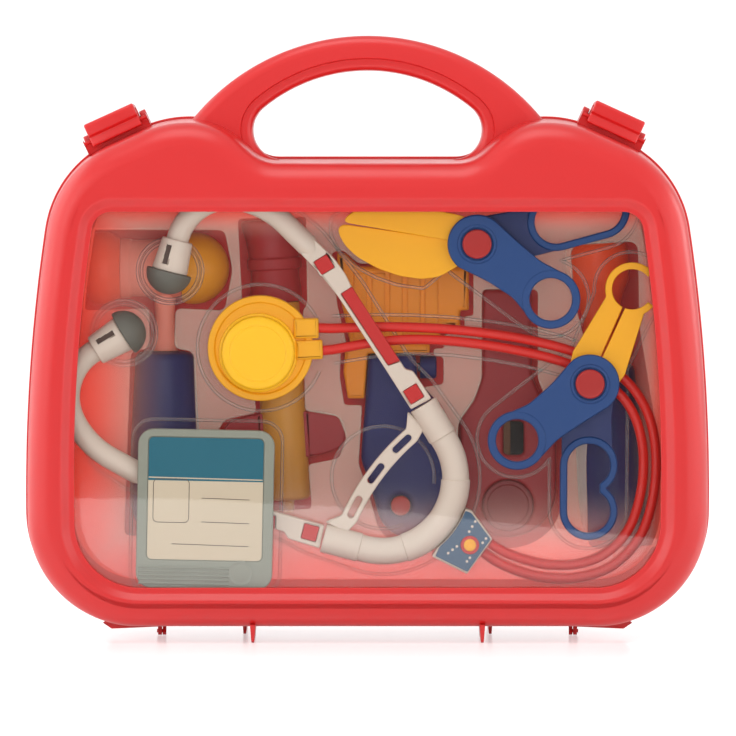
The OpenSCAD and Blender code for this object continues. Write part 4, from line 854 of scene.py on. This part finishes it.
def frontLever():
    # boss, waisted arm and a finger ring with a proud rim; the boss is dished for the pin's cap
    b, l, low = lever["boss"], lever["long"], depth["leverFront"]
    high = low + lever["thick"]
    loop = np.vstack([arc((l, 0), b, -90, 90, 4), [(27, 10.8), (14, 11.6)], arc((0, 0), b, 90, 270, 4),
                      [(14, -10.4), (27, -9.6)]])
    body = plate([soften(loop, 2.2, True, 3), hole((l, 0), b - 2, 354, 5), hole((0, 0), lever["dish"], 354, 5)],
                 low, high - 0.3, 0.7)
    rim = lathe(soften([(lever["finger"], low), (b, low), (b, high), (lever["finger"], high)], 0.9, True),
                (l, 0, 0), sides=72, hollow=True)
    d, seat, bore = lever["dish"], lever["seat"], lever["pin"] + 0.1
    dishLine = [(bore, low), (d + 1, low), (d + 1, high - 0.3), (d, high - 0.35), (d - 0.4, high - 0.75),
                (seat, high - 0.75), (seat, high - 2.1), (bore, high - 2.1)]
    dish = lathe(soften(dishLine, 0.25, True), hollow=True)
    return placed(joinedUp(body, rim, dish), (0, 0), lever["frontTurn"])


def backLoop(d):  # the loop's outline moved inwards by d: two lobes with a notch between them on one side
    r, n = lever["loop"] - d, lever["notch"] - d
    a = np.degrees(np.arcsin(n / r))
    return np.vstack([arc(lever["far"], r, -90, 180 - a, 5), arc(lever["near"], r, a, 270, 5)])


def backBand():
    # the loop's full-height band
    loops = [soften(backLoop(0), 0.6, True, 2), turnedLoop(soften(backLoop(lever["band"]), 0.6, True, 2))]
    low = depth["leverBack"]
    return placed(plate(loops, low, low + lever["thick"], 0.8), (0, 0), lever["backTurn"])


def backWeb():
    # the thinner web between the boss and the loop, and the boss itself
    web = np.vstack([arc((0, 0), lever["boss"] - 0.6, 62, 268, 6), [(20, -12.2), (33, -12.2)],
                     arc(lever["near"], lever["loop"] - 1.2, 250, 112, 6), [(17, 10)]])
    loops = [soften(web, 1, True), hole((0, 0), lever["pin"] + 0.1)]
    return placed(plate(loops, depth["leverBack"] + 0.5, depth["bladeBack"] - 0.9, 0.4), (0, 0),
                  lever["backTurn"])


def pivotPin():  # a turned pin with a wider foot and a low cap
    low = depth["leverBack"] - 0.2
    cap = depth["leverFront"] + lever["thick"] - 1.8
    line = [(6.4, low - 0.6), (6.4, low), (lever["pin"], low), (lever["pin"], cap), (lever["cap"], cap),
            (lever["cap"], cap + 2.2), (5, cap + 2.35), (1.5, cap + 2.4)]
    return lathe(soften(line, [0, 0.2, 0.2, 0.2, 0.2, 0.7, 1, 0]), sides=56)


def flat(outline, low, thick=2.2, edge=0.45):  # a blade or a jaw, bored for the pin
    return plate([outline, hole((0, 0), lever["pin"] + 0.1)], low, low + thick, edge)


bladeBoss = lever["boss"] - 2
lowerEdge = [(60, 0.4), (62, 2.4), (61.4, 5), (58, 9.6), (52, 13.8), (42, 17.6), (32, 19.4), (22, 19.4),
             (14, 17)]
upperEdge = [(10, -11.6), (22, -12), (38, -11.4), (50, -9), (57, -5.6), (60, -2), (59, -0.4)]
lowerBlade = soften(np.vstack([arc((0, 0), bladeBoss, 62, 358, 6), lowerEdge]), 2.5, True)
upperBlade = soften(np.vstack([arc((0, 0), bladeBoss, 2, 290, 6), upperEdge]), 2.0, True)


def jaw(end):  # a bar that ends in a part of a ring
    ringAt = (46, 0)
    line = np.vstack([arc((0, 0), bladeBoss, 80, 361.5, 6), arc(ringAt, 8.9, 177, end, 5),
                      arc(ringAt, 12, end, 130, 5), [(10, 12.6)]])
    return soften(line, 0.5, True, 2)


leftJaw = jaw(-28)
rightJaw = (jaw(104) * [1, -1])[::-1]
for tool, front, back, tip in ((scissors, upperBlade, lowerBlade, "blade"),
                               (forceps, rightJaw, leftJaw, "jaw")):
    name, held = tool["name"], tool["name"] + "_arm"
    for part, piece, body, look in ((frontLever(), "front_lever", held, "blue"),
                                    (flat(front, depth["bladeFront"]), "front_" + tip, held, "yellow"),
                                    (flat(back, depth["bladeBack"]), "back_" + tip, "rear_case", "yellow"),
                                    (pivotPin(), "pivot", "rear_case", "pin"),
                                    (backWeb(), "back_lever", "rear_case", "shadedBlue")):
        build(name + "_" + piece, placed(part, tool["at"], tool["turn"]), look, body)
    build(name + "_loop", placed(backBand(), tool["at"], tool["turn"]), "blue", nodes=())
print("stage: scissors and forceps made")

# Badge holder with its card; the card's marks are thin raised print
holder = {"at": (-72.2, 59.2), "turn": -1.2, "width": 60.7, "height": 71, "round": 7, "cardWide": 51,
          "cardHigh": 54.4, "cardUp": 4.6, "back": 29.4, "front": 34.0, "ribs": 5}


def onHolder(*parts):  # parts joined and turned into the holder's place
    return placed(joinedUp(*parts), holder["at"], holder["turn"])


def holderBody():
    # back plate, a frame round the card, five ribs and a round boss along the lower edge
    w, h, front = holder["width"], holder["height"], holder["front"]
    outer = rounded(w, h, holder["round"])
    frameHole = rounded(holder["cardWide"] + 0.4, holder["cardHigh"] + 0.4, 2.4, (0, holder["cardUp"]))
    ribs = []
    for i in range(holder["ribs"]):
        rib = rounded(40.6, 0.9, 0.4, (-w / 2 + 21.4, -h / 2 + 2.2 + 1.8 * i))
        ribs.append(plate([rib], front - 0.3, front + 0.35, 0.3))
    bossLine = [(5.6, -0.4), (5.6, 0), (4.9, 0.01), (4.7, -0.12), (3.6, -0.1), (2.4, 0.01), (1, 0.02)]
    boss = lathe(bossLine, (16.4, -h / 2 + 7.4, front), sides=40)
    back = plate([outer], holder["back"], front - 1, 0.8)
    rim = plate([inset(outer, 0.02), turnedLoop(frameHole)], front - 1.4, front - 0.2)
    return onHolder(back, rim, boss, *ribs)


def printed(loops, high):  # thin print of a height on the card's face
    return plate(loops, holder["front"] - 0.52, holder["front"] - 0.5 + high, 0.01, 1)


def strip(x0, y0, x1, y1, w, high=0.05):  # a printed bar of width w
    a, b = np.array([x0, y0]), np.array([x1, y1])
    n = (b - a) / np.linalg.norm(b - a) * w / 2
    side = np.array([-n[1], n[0]])
    return printed([np.array([a - side, b - side, b + side, a + side])], high)


def cardHeader():  # a band along the card's top, its two upper corners quarter circles
    x, top = holder["cardWide"] / 2, holder["cardUp"] + holder["cardHigh"] / 2
    low, r = top - 19.2, 2.2
    corners = [arc((x - r, top - r), r, 0, 90, 15), arc((r - x, top - r), r, 90, 180, 15)]
    return printed([np.vstack([*corners, [(-x, low), (x, low)]])], 0.05)


def cardMarks():  # a thin frame between two round-cornered boxes, and three ruled bars
    at = (-15.2, 3.6)
    frameLine = printed([rounded(16.2, 19.6, 2.2, at), turnedLoop(rounded(15.6, 19.0, 1.9, at))], 0.06)
    lines = [(-1.6, 5.0, 19.6, 4.6), (-1.6, -5.6, 19.6, -6.0), (-14.6, -15.6, 19.6, -16.2)]
    return onHolder(frameLine, *[strip(*line, 0.32) for line in lines])


build("badge_holder", holderBody(), "holder", nodes=["id_holder"])
cardLoop = rounded(holder["cardWide"], holder["cardHigh"], 2.2, (0, holder["cardUp"]))
cardPart = plate([cardLoop], holder["front"] - 1, holder["front"] - 0.5, 0.05)
build("badge_card", onHolder(cardPart), "card", nodes=["id_card"])
build("card_header", onHolder(cardHeader()), "teal", nodes=())
build("card_marks", cardMarks(), "ink", nodes=())
build("card_lines", onHolder(strip(-25.3, 13.9, 25.3, 13.5, 0.5, 0.08)), "card", nodes=())
print("stage: badge holder made")

# Instruments of the rear layer


def upward(turn):  # the unit vector up, leaning to the left by an angle
    return np.array([*way(turn + 90), 0])


def toolGrip(at, turn):
    # a turned grip, widest in its lower half, with a small step under its upper end
    profile = soften([(9.6, 0), (13.8, 2.5), (15.4, 8), (16, 20), (15.6, 40), (14.4, 60), (13.8, 70),
                      (13.7, 76.2), (12.4, 78.6), (9, 79.6), (2, 79.6)], [0, 2, 3, 6, 8, 6, 3, 1.4, 1, 0.6, 0])
    return lathe(profile, at, upward(turn), 72)


hammer = {"x": -92.0, "low": 47.7, "head": 165.0, "w": -22.8, "left": -112.0, "right": -84.3}
build("hammer_grip", toolGrip((hammer["x"], hammer["low"], hammer["w"]), 0), "navy")
neck = soften([(5.8, 0), (5.8, 3), (4.6, 8), (4.2, 16), (5.2, 25.6)], [0, 1, 3, 4, 0])
barrelLine = soften([(10, 0), (13.6, 0), (13.6, 4), (12.9, 5), (12.9, 22.7), (13.6, 23.7), (13.6, 27.7),
                     (10, 27.7)], [0, 0.6, 0.4, 0.4, 0.4, 0.4, 0.6, 0])
neckPart = lathe(neck, (hammer["x"], hammer["low"] + 79.8, hammer["w"]), (0, 1, 0), 40)
barrelPart = lathe(barrelLine, (hammer["left"], hammer["head"], hammer["w"]), (1, 0, 0))
build("hammer_neck", joinedUp(neckPart, barrelPart), "blush")
faceLine = soften([(13.6, 0), (14.6, 2), (16.4, 5), (16.8, 10), (15.4, 13.6), (12, 15.4), (2, 16.2)],
                  [0, 1, 1.5, 2.4, 1.6, 1.6, 0])
faceAt = (hammer["left"] - 0.1, hammer["head"], hammer["w"])
build("hammer_face", lathe(faceLine, faceAt, (-1, 0, 0), 72), "scarlet")
ballLine = arc((0, 5), 16.4, -17, 86, 5)
ballAt = (hammer["right"] + 0.1, hammer["head"], hammer["w"])
build("hammer_ball", lathe(ballLine, ballAt, (1, 0, 0), 72), "orange")

syringe = {"at": (-36.2, 59.5), "turn": 3.3, "w": -25.6, "bore": 8.7, "wall": 1.6, "long": 90.0,
           "flangeLow": 19.2, "flangeHigh": 39.8}
syringeUp = upward(syringe["turn"])


def alongSyringe(profile, low, sides=64, hollow=False):  # turned about the syringe's axis, from a height low
    return lathe(profile, np.array([*syringe["at"], syringe["w"]]) + low * syringeUp, syringeUp, sides, hollow)


def syringeBarrel():
    # a cup with a nozzle; outer and inner walls are one closed section
    b, r, l = syringe["bore"], syringe["bore"] + syringe["wall"], syringe["long"]
    line = [(1.2, -6), (2.2, -6), (2.9, -0.4), (r - 1.2, 0), (r, 1.4), (r, l - 4), (r, l - 0.4), (r - 0.4, l),
            (b, l), (b, 2.4), (1.2, 2.4)]
    cup = soften(line, [0.2, 0.3, 0.4, 0.8, 0.8, 0.2, 0.2, 0.2, 0.2, 0.5, 0.2], True)
    return alongSyringe(cup, 0, hollow=True)


def syringeFlange():
    # a plate that tapers to blunt ends, open where the barrel passes, with a collar behind it
    half = [(10.36, -10.3), (16, -9.9), (24, -7.6), (27.2, -4.4), (28, 0), (27.4, 4.4), (24, 7.8), (16, 9.9),
            (10.36, 10.3)]
    right = plate([soften(half, [0.3, 3, 2, 1.4, 2, 1.4, 2, 3, 0.3], True)], -4.5, 4.5, 0.9)
    section = np.vstack([arc((0, 0), 11.5, -23, 203, 4), arc((0, 0), 10.36, 205.7, -25.7, 4)])
    p, f = plate([section], -10.3, 10.3, 0.3)
    p, f = joinedUp(right, mirrored(right), (p[:, [0, 2, 1]] * [1, 1, -1], f))
    middle = (syringe["flangeLow"] + syringe["flangeHigh"]) / 2
    return placed((p + [0, middle, syringe["w"]], f), syringe["at"], syringe["turn"])


def syringePlunger():
    # rod, and a thumb grip with a waist and a step band under its flared end
    line = [(2, 0), (11.4, 0), (11.8, 5), (11, 12), (10.9, 14.6), (12.4, 15.2), (12.4, 19.6), (11.4, 20.4),
            (12.2, 28), (13.6, 33), (14.2, 36.4), (13.2, 37.4), (2, 37.4)]
    rod = alongSyringe([(5.2, 0), (5.4, 0.2), (5.4, 80.4), (5.2, 80.6)], 10, 40)
    grip = soften(line, [0, 0.6, 1.5, 1.5, 0.4, 0.4, 0.4, 0.4, 2, 1.5, 1, 0.5, 0])
    return joinedUp(rod, alongSyringe(grip, syringe["long"] + 0.2))


sealLine = soften([(1, -3), (8.6, 0), (8.6, 1.6), (7.8, 2.4), (7.8, 5.6), (8.6, 6.4), (8.6, 8), (5.5, 8),
                   (5.5, 2), (1, 2)], 0.3, True)
build("syringe_barrel", syringeBarrel(), "ochre")
build("syringe_flange", syringeFlange(), "maroon")
build("syringe_plunger", syringePlunger(), "crimson", "plunger")
build("syringe_seal", alongSyringe(sealLine, 8, 48, True), "black", "plunger")

scope = {"back": -39.8, "front": -13.8, "button": (15, 57.4), "buttonRadius": 4.4, "knob": (22.9, 119.8)}
handleLine = [(-2.6, 84), (-3, 78), (0, 70), (6, 50), (12, 44), (22, 42), (37, 43), (43, 46.6), (43, 51),
              (41, 60), (39.6, 84), (32, 104), (22.6, 113.6), (22, 126), (0.5, 126), (-1, 104)]
handleLoops = [soften(handleLine, 3.4, True), hole(scope["button"], scope["buttonRadius"] + 0.1, 350, 8)]
build("scope_handle", plate(handleLoops, scope["back"], scope["front"], 3.2, 6), "navy")
buttonLine = soften([(3, 0), (4.3, 0), (4.4, 2.4), (3.2, 2.7), (1, 2.8)], [0, 0.2, 0.5, 0.5, 0])
build("scope_button", lathe(buttonLine, (*scope["button"], scope["front"] - 2), sides=40), "redTrim")
collarLine = [(-9, 106), (-1.4, 106), (0.1, 126.4), (28.2, 126.4), (28.2, 131), (-10, 131), (-11, 118)]
collarPart = plate([soften(collarLine, 1, True)], scope["back"] + 2, scope["front"] - 2, 1.4)
build("scope_collar", collarPart, "amber")


def scopeHead():
    # stepped head, its front scored by four upright grooves between shallow pads
    line = soften([(-8, 131.4), (33, 131.4), (33, 138), (42, 138), (42, 146), (46, 146), (46, 166), (-4, 166),
                   (-10, 172), (-14, 172), (-12, 150)], 1.2, True)
    pads = []
    for x in (-6.4, 1.8, 9.8, 17.8, 25.8):
        pad = soften([(x, 133), (x + 6.2, 133), (x + 6.2, 163), (x, 163)], 0.5, True)
        pads.append(plate([pad], scope["front"] - 1.6, scope["front"], 0.5))
    return joinedUp(plate([line], scope["back"] + 1, scope["front"] - 0.6, 2.2), *pads)


build("scope_head", scopeHead(), "amber")
knobLine = soften([(1, 0), (2, 0), (2, 1), (5.2, 1), (5.2, 7.8), (4.4, 8.5), (1, 8.5)],
                  [0, 0.1, 0.1, 0.4, 0.5, 0.4, 0])
build("scope_knob", lathe(knobLine, (*scope["knob"], -26.8), (1, 0, 0), 40), "navy")

gauge = {"back": -39.8, "front": -27.8, "dial": (64, 56.6), "dialRadius": 11.4, "windowAt": (66.5, 87.4)}
neckLine = [(86, 96), (79, 106), (74.8, 116), (74.8, 155), (52.6, 155), (52.6, 116), (49, 106), (42, 96)]
paddle = np.vstack([neckLine, arc((64, 64), 22, 180, 360, 5)])
windowLoop = rounded(9.2, 15.4, 2.2, gauge["windowAt"])
dialHole = hole(gauge["dial"], gauge["dialRadius"] + 0.1, 354, 6)
gaugeLoops = [soften(paddle, 2.4, True), turnedLoop(windowLoop), dialHole]
build("gauge_body", plate(gaugeLoops, gauge["back"], gauge["front"], 1.8, 4), "maroon")
dialLine = soften([(8, 0), (11.4, 0), (11.4, 1.8), (9.6, 1.8), (9.2, 1.0), (1, 1.0)],
                  [0, 0.2, 0.4, 0.4, 0.3, 0])
build("gauge_dial", lathe(dialLine, (*gauge["dial"], gauge["front"] - 1.6), sides=56), "burgundy")
windowSplit = gauge["windowAt"][0] - 1.4
windowHalves = (("gauge_window_left", "brown", np.minimum), ("gauge_window_right", "night", np.maximum))
for name, look, kept in windowHalves:
    half = inset(windowLoop, 0.1)
    half[:, 0] = kept(half[:, 0], windowSplit)
    half = half[np.r_[True, np.linalg.norm(np.diff(half, axis=0), axis=1) > 0.01]]
    build(name, plate([half], gauge["front"] - 3, gauge["front"] - 0.8, 0.1), look, nodes=())

torch = {"at": (113.2, 42), "turn": 4.0, "w": -23.8}
torchUp = upward(torch["turn"])
torchBase = np.array([*torch["at"], torch["w"]])
build("torch_grip", toolGrip(torchBase, torch["turn"]), "navy")
headLine = soften([(7, 0), (9, 0), (8.2, 8), (8, 18), (10, 30), (14, 38), (14.4, 52), (13, 55), (10.8, 55),
                   (10.6, 52), (2, 52)], [0, 0.6, 2, 3, 3, 2, 1.4, 0.6, 0.5, 0.3, 0])
build("torch_head", lathe(headLine, torchBase + 79.8 * torchUp, torchUp, 72), "scarlet")
lensLine = soften([(6, 0), (10.4, 0), (10.4, 1.6), (8, 3.0), (1, 3.9)], [0, 0.2, 0.5, 1, 0])
build("torch_lens", lathe(lensLine, torchBase + 132 * torchUp, torchUp, 56), "smoke")
print("stage: rear instruments made")

# Clear tray: a sheet with a drawn edge and ridges round the front tools, two rings round each ear tip
tray = {"edge": 2.5, "inset": 12, "draft": 2, "thick": 0.8, "low": -1.2, "centre": (0, 108), "rings": 24,
        "land": 22, "milk": 0.2}


def rearPockets():
    # outlines of the rear instruments, round which the sheet's milky land ends
    hammerLine = [(-109, 46), (-75, 46), (-77, 100), (-78, 128.6), (-86.6, 130), (-86, 148), (-64, 147),
                  (-60.4, 165), (-64, 183), (-127, 183), (-130.6, 165), (-127, 147), (-97.6, 148), (-97.4, 130),
                  (-106, 128.6), (-107, 100)]
    syringeLine = [(-47.6, 57), (-25, 58), (-26.6, 78), (-13, 80.6), (-9.4, 90), (-13, 99.4), (-28, 102),
                   (-29, 147), (-27, 149.6), (-27.6, 189), (-58, 188), (-56, 149), (-52.6, 147), (-50, 101),
                   (-64, 98), (-69.6, 88.6), (-66, 79.6), (-48.6, 77)]
    scopeLine = [(-4, 78), (-1, 70), (5, 49), (11.4, 42.6), (22, 40.6), (37, 41.6), (44.4, 45.6), (44.4, 51),
                 (42.4, 60), (41, 84), (33.4, 104), (25, 112.6), (34, 114), (34, 126), (29.6, 127), (29.6, 130),
                 (34.4, 130), (34.4, 136.6), (43.4, 136.6), (43.4, 144.6), (47.4, 144.6), (47.4, 168),
                 (-4, 168), (-11, 174), (-16, 173), (-13.6, 150), (-9.4, 132), (-12, 130), (-12.4, 117),
                 (-10.4, 104.6), (-2.4, 104.6)]
    torchLine = [(99, 40), (133.4, 42), (131.4, 80), (125, 120), (121.6, 140), (121, 178), (90.6, 176),
                 (93, 150), (100.6, 120), (98, 80)]
    lines = ((hammerLine, 3), (syringeLine, 2), (scopeLine, 1.6), (torchLine, 5), (inset(paddle, -1.4), 2.4))
    return [turnedLoop(soften(line, r, True)) for line, r in lines]


def trayLand():
    # the land between the rear instruments, a thin plate just under the sheet
    edge = soften(offset(caseLine, tray["land"])[::3], 1, True, 2)
    return plate([edge] + rearPockets(), depth["sheet"] - 2.6, depth["sheet"] - 1.0, 0.7)


def trayLoft():
    # rings of the case's outline: in to the centre on top, out over the wall and flange, and back underneath
    e, i, d, t = tray["edge"], tray["inset"], tray["draft"], tray["thick"]
    top = soften([(i, t + tray["low"]), (i + d, depth["sheet"]), (i + d + 6, depth["sheet"])], [0, 2.2, 0],
                 steps=6)
    under = soften([(i + t, tray["low"]), (i + d + t, depth["sheet"] - t), (i + d + 6, depth["sheet"] - t)],
                   [0, 1.8, 0], steps=6)
    middle = offset(caseLine, i + d + 6)
    scale = (1 - np.arange(1, tray["rings"]) / tray["rings"])[:, None, None] + 0.002
    inwards = np.array(tray["centre"]) + scale * (middle - tray["centre"])
    steps = [*top[::-1], (e, t + tray["low"]), (e, tray["low"]), *under]
    wall = [ring(caseLine, *r) for r in steps]
    over = [atDepth(line, depth["sheet"]) for line in inwards[::-1]]
    return skin(np.array(over + wall + [atDepth(line, depth["sheet"] - t) for line in inwards]))


def bead(path, closed=True, radius=0.75):
    # a thin raised bead along a path on the sheet
    flat = np.asarray(path, float)[:, :2]
    flat = along(np.vstack([flat, flat[:1]]) if closed else flat, 1.5)
    return tube(atDepth(flat, depth["sheet"] + 0.1), radius, 12)


def onTool(loop, tool):  # flat points turned and moved to a tool's pivot
    return turnedTo(loop, tool["at"], tool["turn"])


def toolOutline(tips, gap=4.4):
    # round the tips, the boss, the finger ring and the two circles of the back loop, a gap outside them
    a, b = lever["frontTurn"], lever["backTurn"]
    finger, near, far = lever["long"] * way(a), lever["near"][0] * way(b), lever["far"][0] * way(b)
    r, q = lever["boss"] + gap, lever["loop"] + gap
    return np.vstack([arc((0, 0), r, 50, a - 90, 6), arc(finger, r, a - 90, 256, 6),
                      arc(near, q, 104, b - 90, 5), arc(far, q, b - 90, b + 90, 6),
                      arc((0, 0), r, b + 90, 310, 6), tips])


def headsetSide():
    # from the ring's middle round its outer side, along the arm and out to the ear tube
    g = headset["ring"] + headset["tube"] + 5
    line = [(8, 48), (22, 50), (60, 65), (88, 72.6), (106, 73.6), (124, 66)]
    return soften(np.vstack([arc((0, 0), g, 180, 112, 4), line]), 3)


def beadPaths():
    # closed outlines, then open ones
    scissorTips = [(22, -16.4), (38, -15.8), (50, -13.4), (60, -8), (66, -1), (65, 6), (60, 13), (52, 18.4),
                   (42, 22), (32, 23.8), (20, 23.6)]
    forcepTips = np.vstack([[(30, -14)], arc((46, 0), 16.4, -120, 120, 6), [(30, 14)]])
    holderLine = rounded(holder["width"] + 6.4, holder["height"] + 6.4, 9, holder["at"], holder["turn"])
    chestLine = arc(chest["at"], chest["radius"] + 4.7, 26, 338, 4)
    tips = placed((np.array([tipAt, tipAt * [1, -1, 1]]), []), headset["at"], headset["turn"])[0]
    closed = [onTool(soften(toolOutline(scissorTips), 1.5, True), scissors),
              onTool(soften(toolOutline(forcepTips), 1.5, True), forceps), holderLine]
    closed += [arc((x, y), r, 0, 354, 6) for x, y, _ in tips for r in (12.8, 14.6)]
    side = headsetSide()
    above = np.array([p[:2] for p in hoses["upper"][1:10]]) + [0, 5.4]
    below = np.array([p[:2] for p in hoses["lower"][1:9]]) - [0, 6.4]
    inner = arc((0, 0), headset["ring"] - headset["tube"] - 3.4, -150, 150, 4)
    return closed, [chestLine, above, below] + [onTool(line, headset) for line in (side, side * [1, -1], inner)]


landPart = trayLand()
sheetPart = joinedUp(landPart, trayLoft())
closedPaths, openPaths = beadPaths()
beads = [bead(path) for path in closedPaths] + [bead(path, False) for path in openPaths]
# the ridges' whiter finish is partly a painted highlight
ridges = build("tray_ridges", joinedUp(*beads), "ridge", nodes=())
trayPiece = build("tray_sheet", sheetPart, "tray", nodes=["clear_tray"])
milk = trayPiece.data.attributes.new("milk", "FLOAT", "POINT")
milk.data.foreach_set("value", np.where(np.arange(len(sheetPart[0])) < len(landPart[0]), tray["milk"], 0))
for sheet in (windowPiece, trayPiece, ridges):  # clear sheet throws no shadow on what lies behind it
    sheet.visible_shadow = False
    sheet.visible_diffuse = False
print("stage: tray made")

# Floor and light
room = {
    "near": [(-2.4, -1.05), (-0.12, -0.95), (0.0, -0.87), (0.17, -0.62), (2.4, -0.6)], "far": 2.2,
    "bend": 0.6, "high": 1.6, "mirrorNear": -0.04, "mirrorFar": -0.3, "mirror": 0.42, "sky": 0.5,
    "paper": 0.88, "lift": 0.8,
}
# the floor runs back from its slanted near edge, bends up by a quarter circle and goes on upright
near = np.array(room["near"]).T[:, None]
t = np.linspace(0, 1, 48)[:, None]
bend = np.pi / 2 * np.clip((t - 0.5) / 0.3, 0, 1)
y = near[1] + (room["far"] - near[1]) * np.clip(2 * t, 0, 1) + room["bend"] * np.sin(bend)
z = room["bend"] * (1 - np.cos(bend)) + np.clip(t - 0.8, 0, 1) * 5 * room["high"]
m, n = y.shape
points = np.stack(np.broadcast_arrays(near[0], y, z), -1).reshape(-1, 3)
a = (np.arange(m - 1)[:, None] * n + np.arange(n - 1)).ravel()
floorMesh = bpy.data.meshes.new("floor")
floorMesh.from_pydata(points.tolist(), [], np.stack([a, a + 1, a + n + 1, a + n], 1).tolist())
floorMesh.polygons.foreach_set("use_smooth", np.ones(len(floorMesh.polygons), bool))
floor = addObject("floor", floorMesh)


def seenRay(tree):
    # 1 for the rays of the camera, of mirrors and of glass, which see the white background, and else 0
    kinds = ("Is Camera Ray", "Is Glossy Ray", "Is Transmission Ray")
    return largest(tree, [node(tree, "LightPath", kind) for kind in kinds])


def paperLook():
    # white paper under a glossy film that fades away from the case; it is lifted to white where it is seen
    m, tree = newMaterial("paper")
    lift = node(tree, "Math", "Value", {0: seenRay(tree), 1: room["lift"]}, operation="MULTIPLY")
    paper = tree.nodes["Principled BSDF"]
    wire(paper, {"Base Color": (*[room["paper"]] * 3, 1), "Roughness": 0.6, "Specular IOR Level": 0.1,
                 "Emission Color": (1, 1, 1, 1), "Emission Strength": lift})
    fade = ramp(tree, "Y", room["mirrorFar"], room["mirrorNear"], 0, room["mirror"])
    film = node(tree, "BsdfAnisotropic", "BSDF", {"Roughness": 0.16})
    wire(tree.nodes["Material Output"], {"Surface": mixShader(tree, fade, paper.outputs["BSDF"], film)})
    return m


floorMesh.materials.append(paperLook())

# A dark card behind the camera, seen only in reflections, keeps the window clear
cardMesh = bpy.data.meshes.new("dark_card")
corners = [(-1.2, -3.4, -1.4), (1.2, -3.4, -1.4), (1.2, -3.4, 0.6), (-1.2, -3.4, 0.6)]
cardMesh.from_pydata(corners, [], [(0, 1, 2, 3)])
darkCard = addObject("dark_card", cardMesh)
for kind in ("camera", "diffuse", "shadow", "transmission"):
    setattr(darkCard, "visible_" + kind, False)
cloth, clothTree = newMaterial("dark_cloth")
wire(clothTree.nodes["Principled BSDF"], {"Base Color": (0.03, 0.03, 0.03, 1)})
cardMesh.materials.append(cloth)

world = bpy.data.worlds.new("sky")
bpy.context.scene.world = world
world.use_nodes = True
skyTree = world.node_tree
skyLevel = node(skyTree, "MapRange", "Result", {"Value": seenRay(skyTree), "To Min": room["sky"]})
wire(skyTree.nodes["Background"], {"Color": (1, 1, 1, 1), "Strength": skyLevel})

lamps = {  # power in watts, size in metres, place
    "key": (3, 1.0, (-1.3, -1.9, 0.6)), "fill": (5.5, 1.2, (1.35, -1.9, 0.06)),
    "front": (15, 1.0, (0, -2.2, 0.1)), "top": (8.5, 1.0, (-0.1, -0.5, 1.6)),
    "left": (11, 1.4, (-1.3, 0.3, 0.5)), "right": (7, 0.7, (1.5, 0.3, 0.5)),
    "sheenLeft": (12.5, 1.6, (-1.6, -0.9, 0.45)), "sheenRight": (6, 1.0, (1.6, -0.7, 0.4)),
}
for name, (power, size, place) in lamps.items():
    data = bpy.data.lights.new(name, "AREA")
    data.energy, data.size = power, size
    lamp = addObject(name, data)
    setUp(lamp, place, (0, 0, 0.12))
    lamp.visible_glossy = name != "front"
    lamp.visible_diffuse = not name.startswith("sheen")
print("stage: room lit")
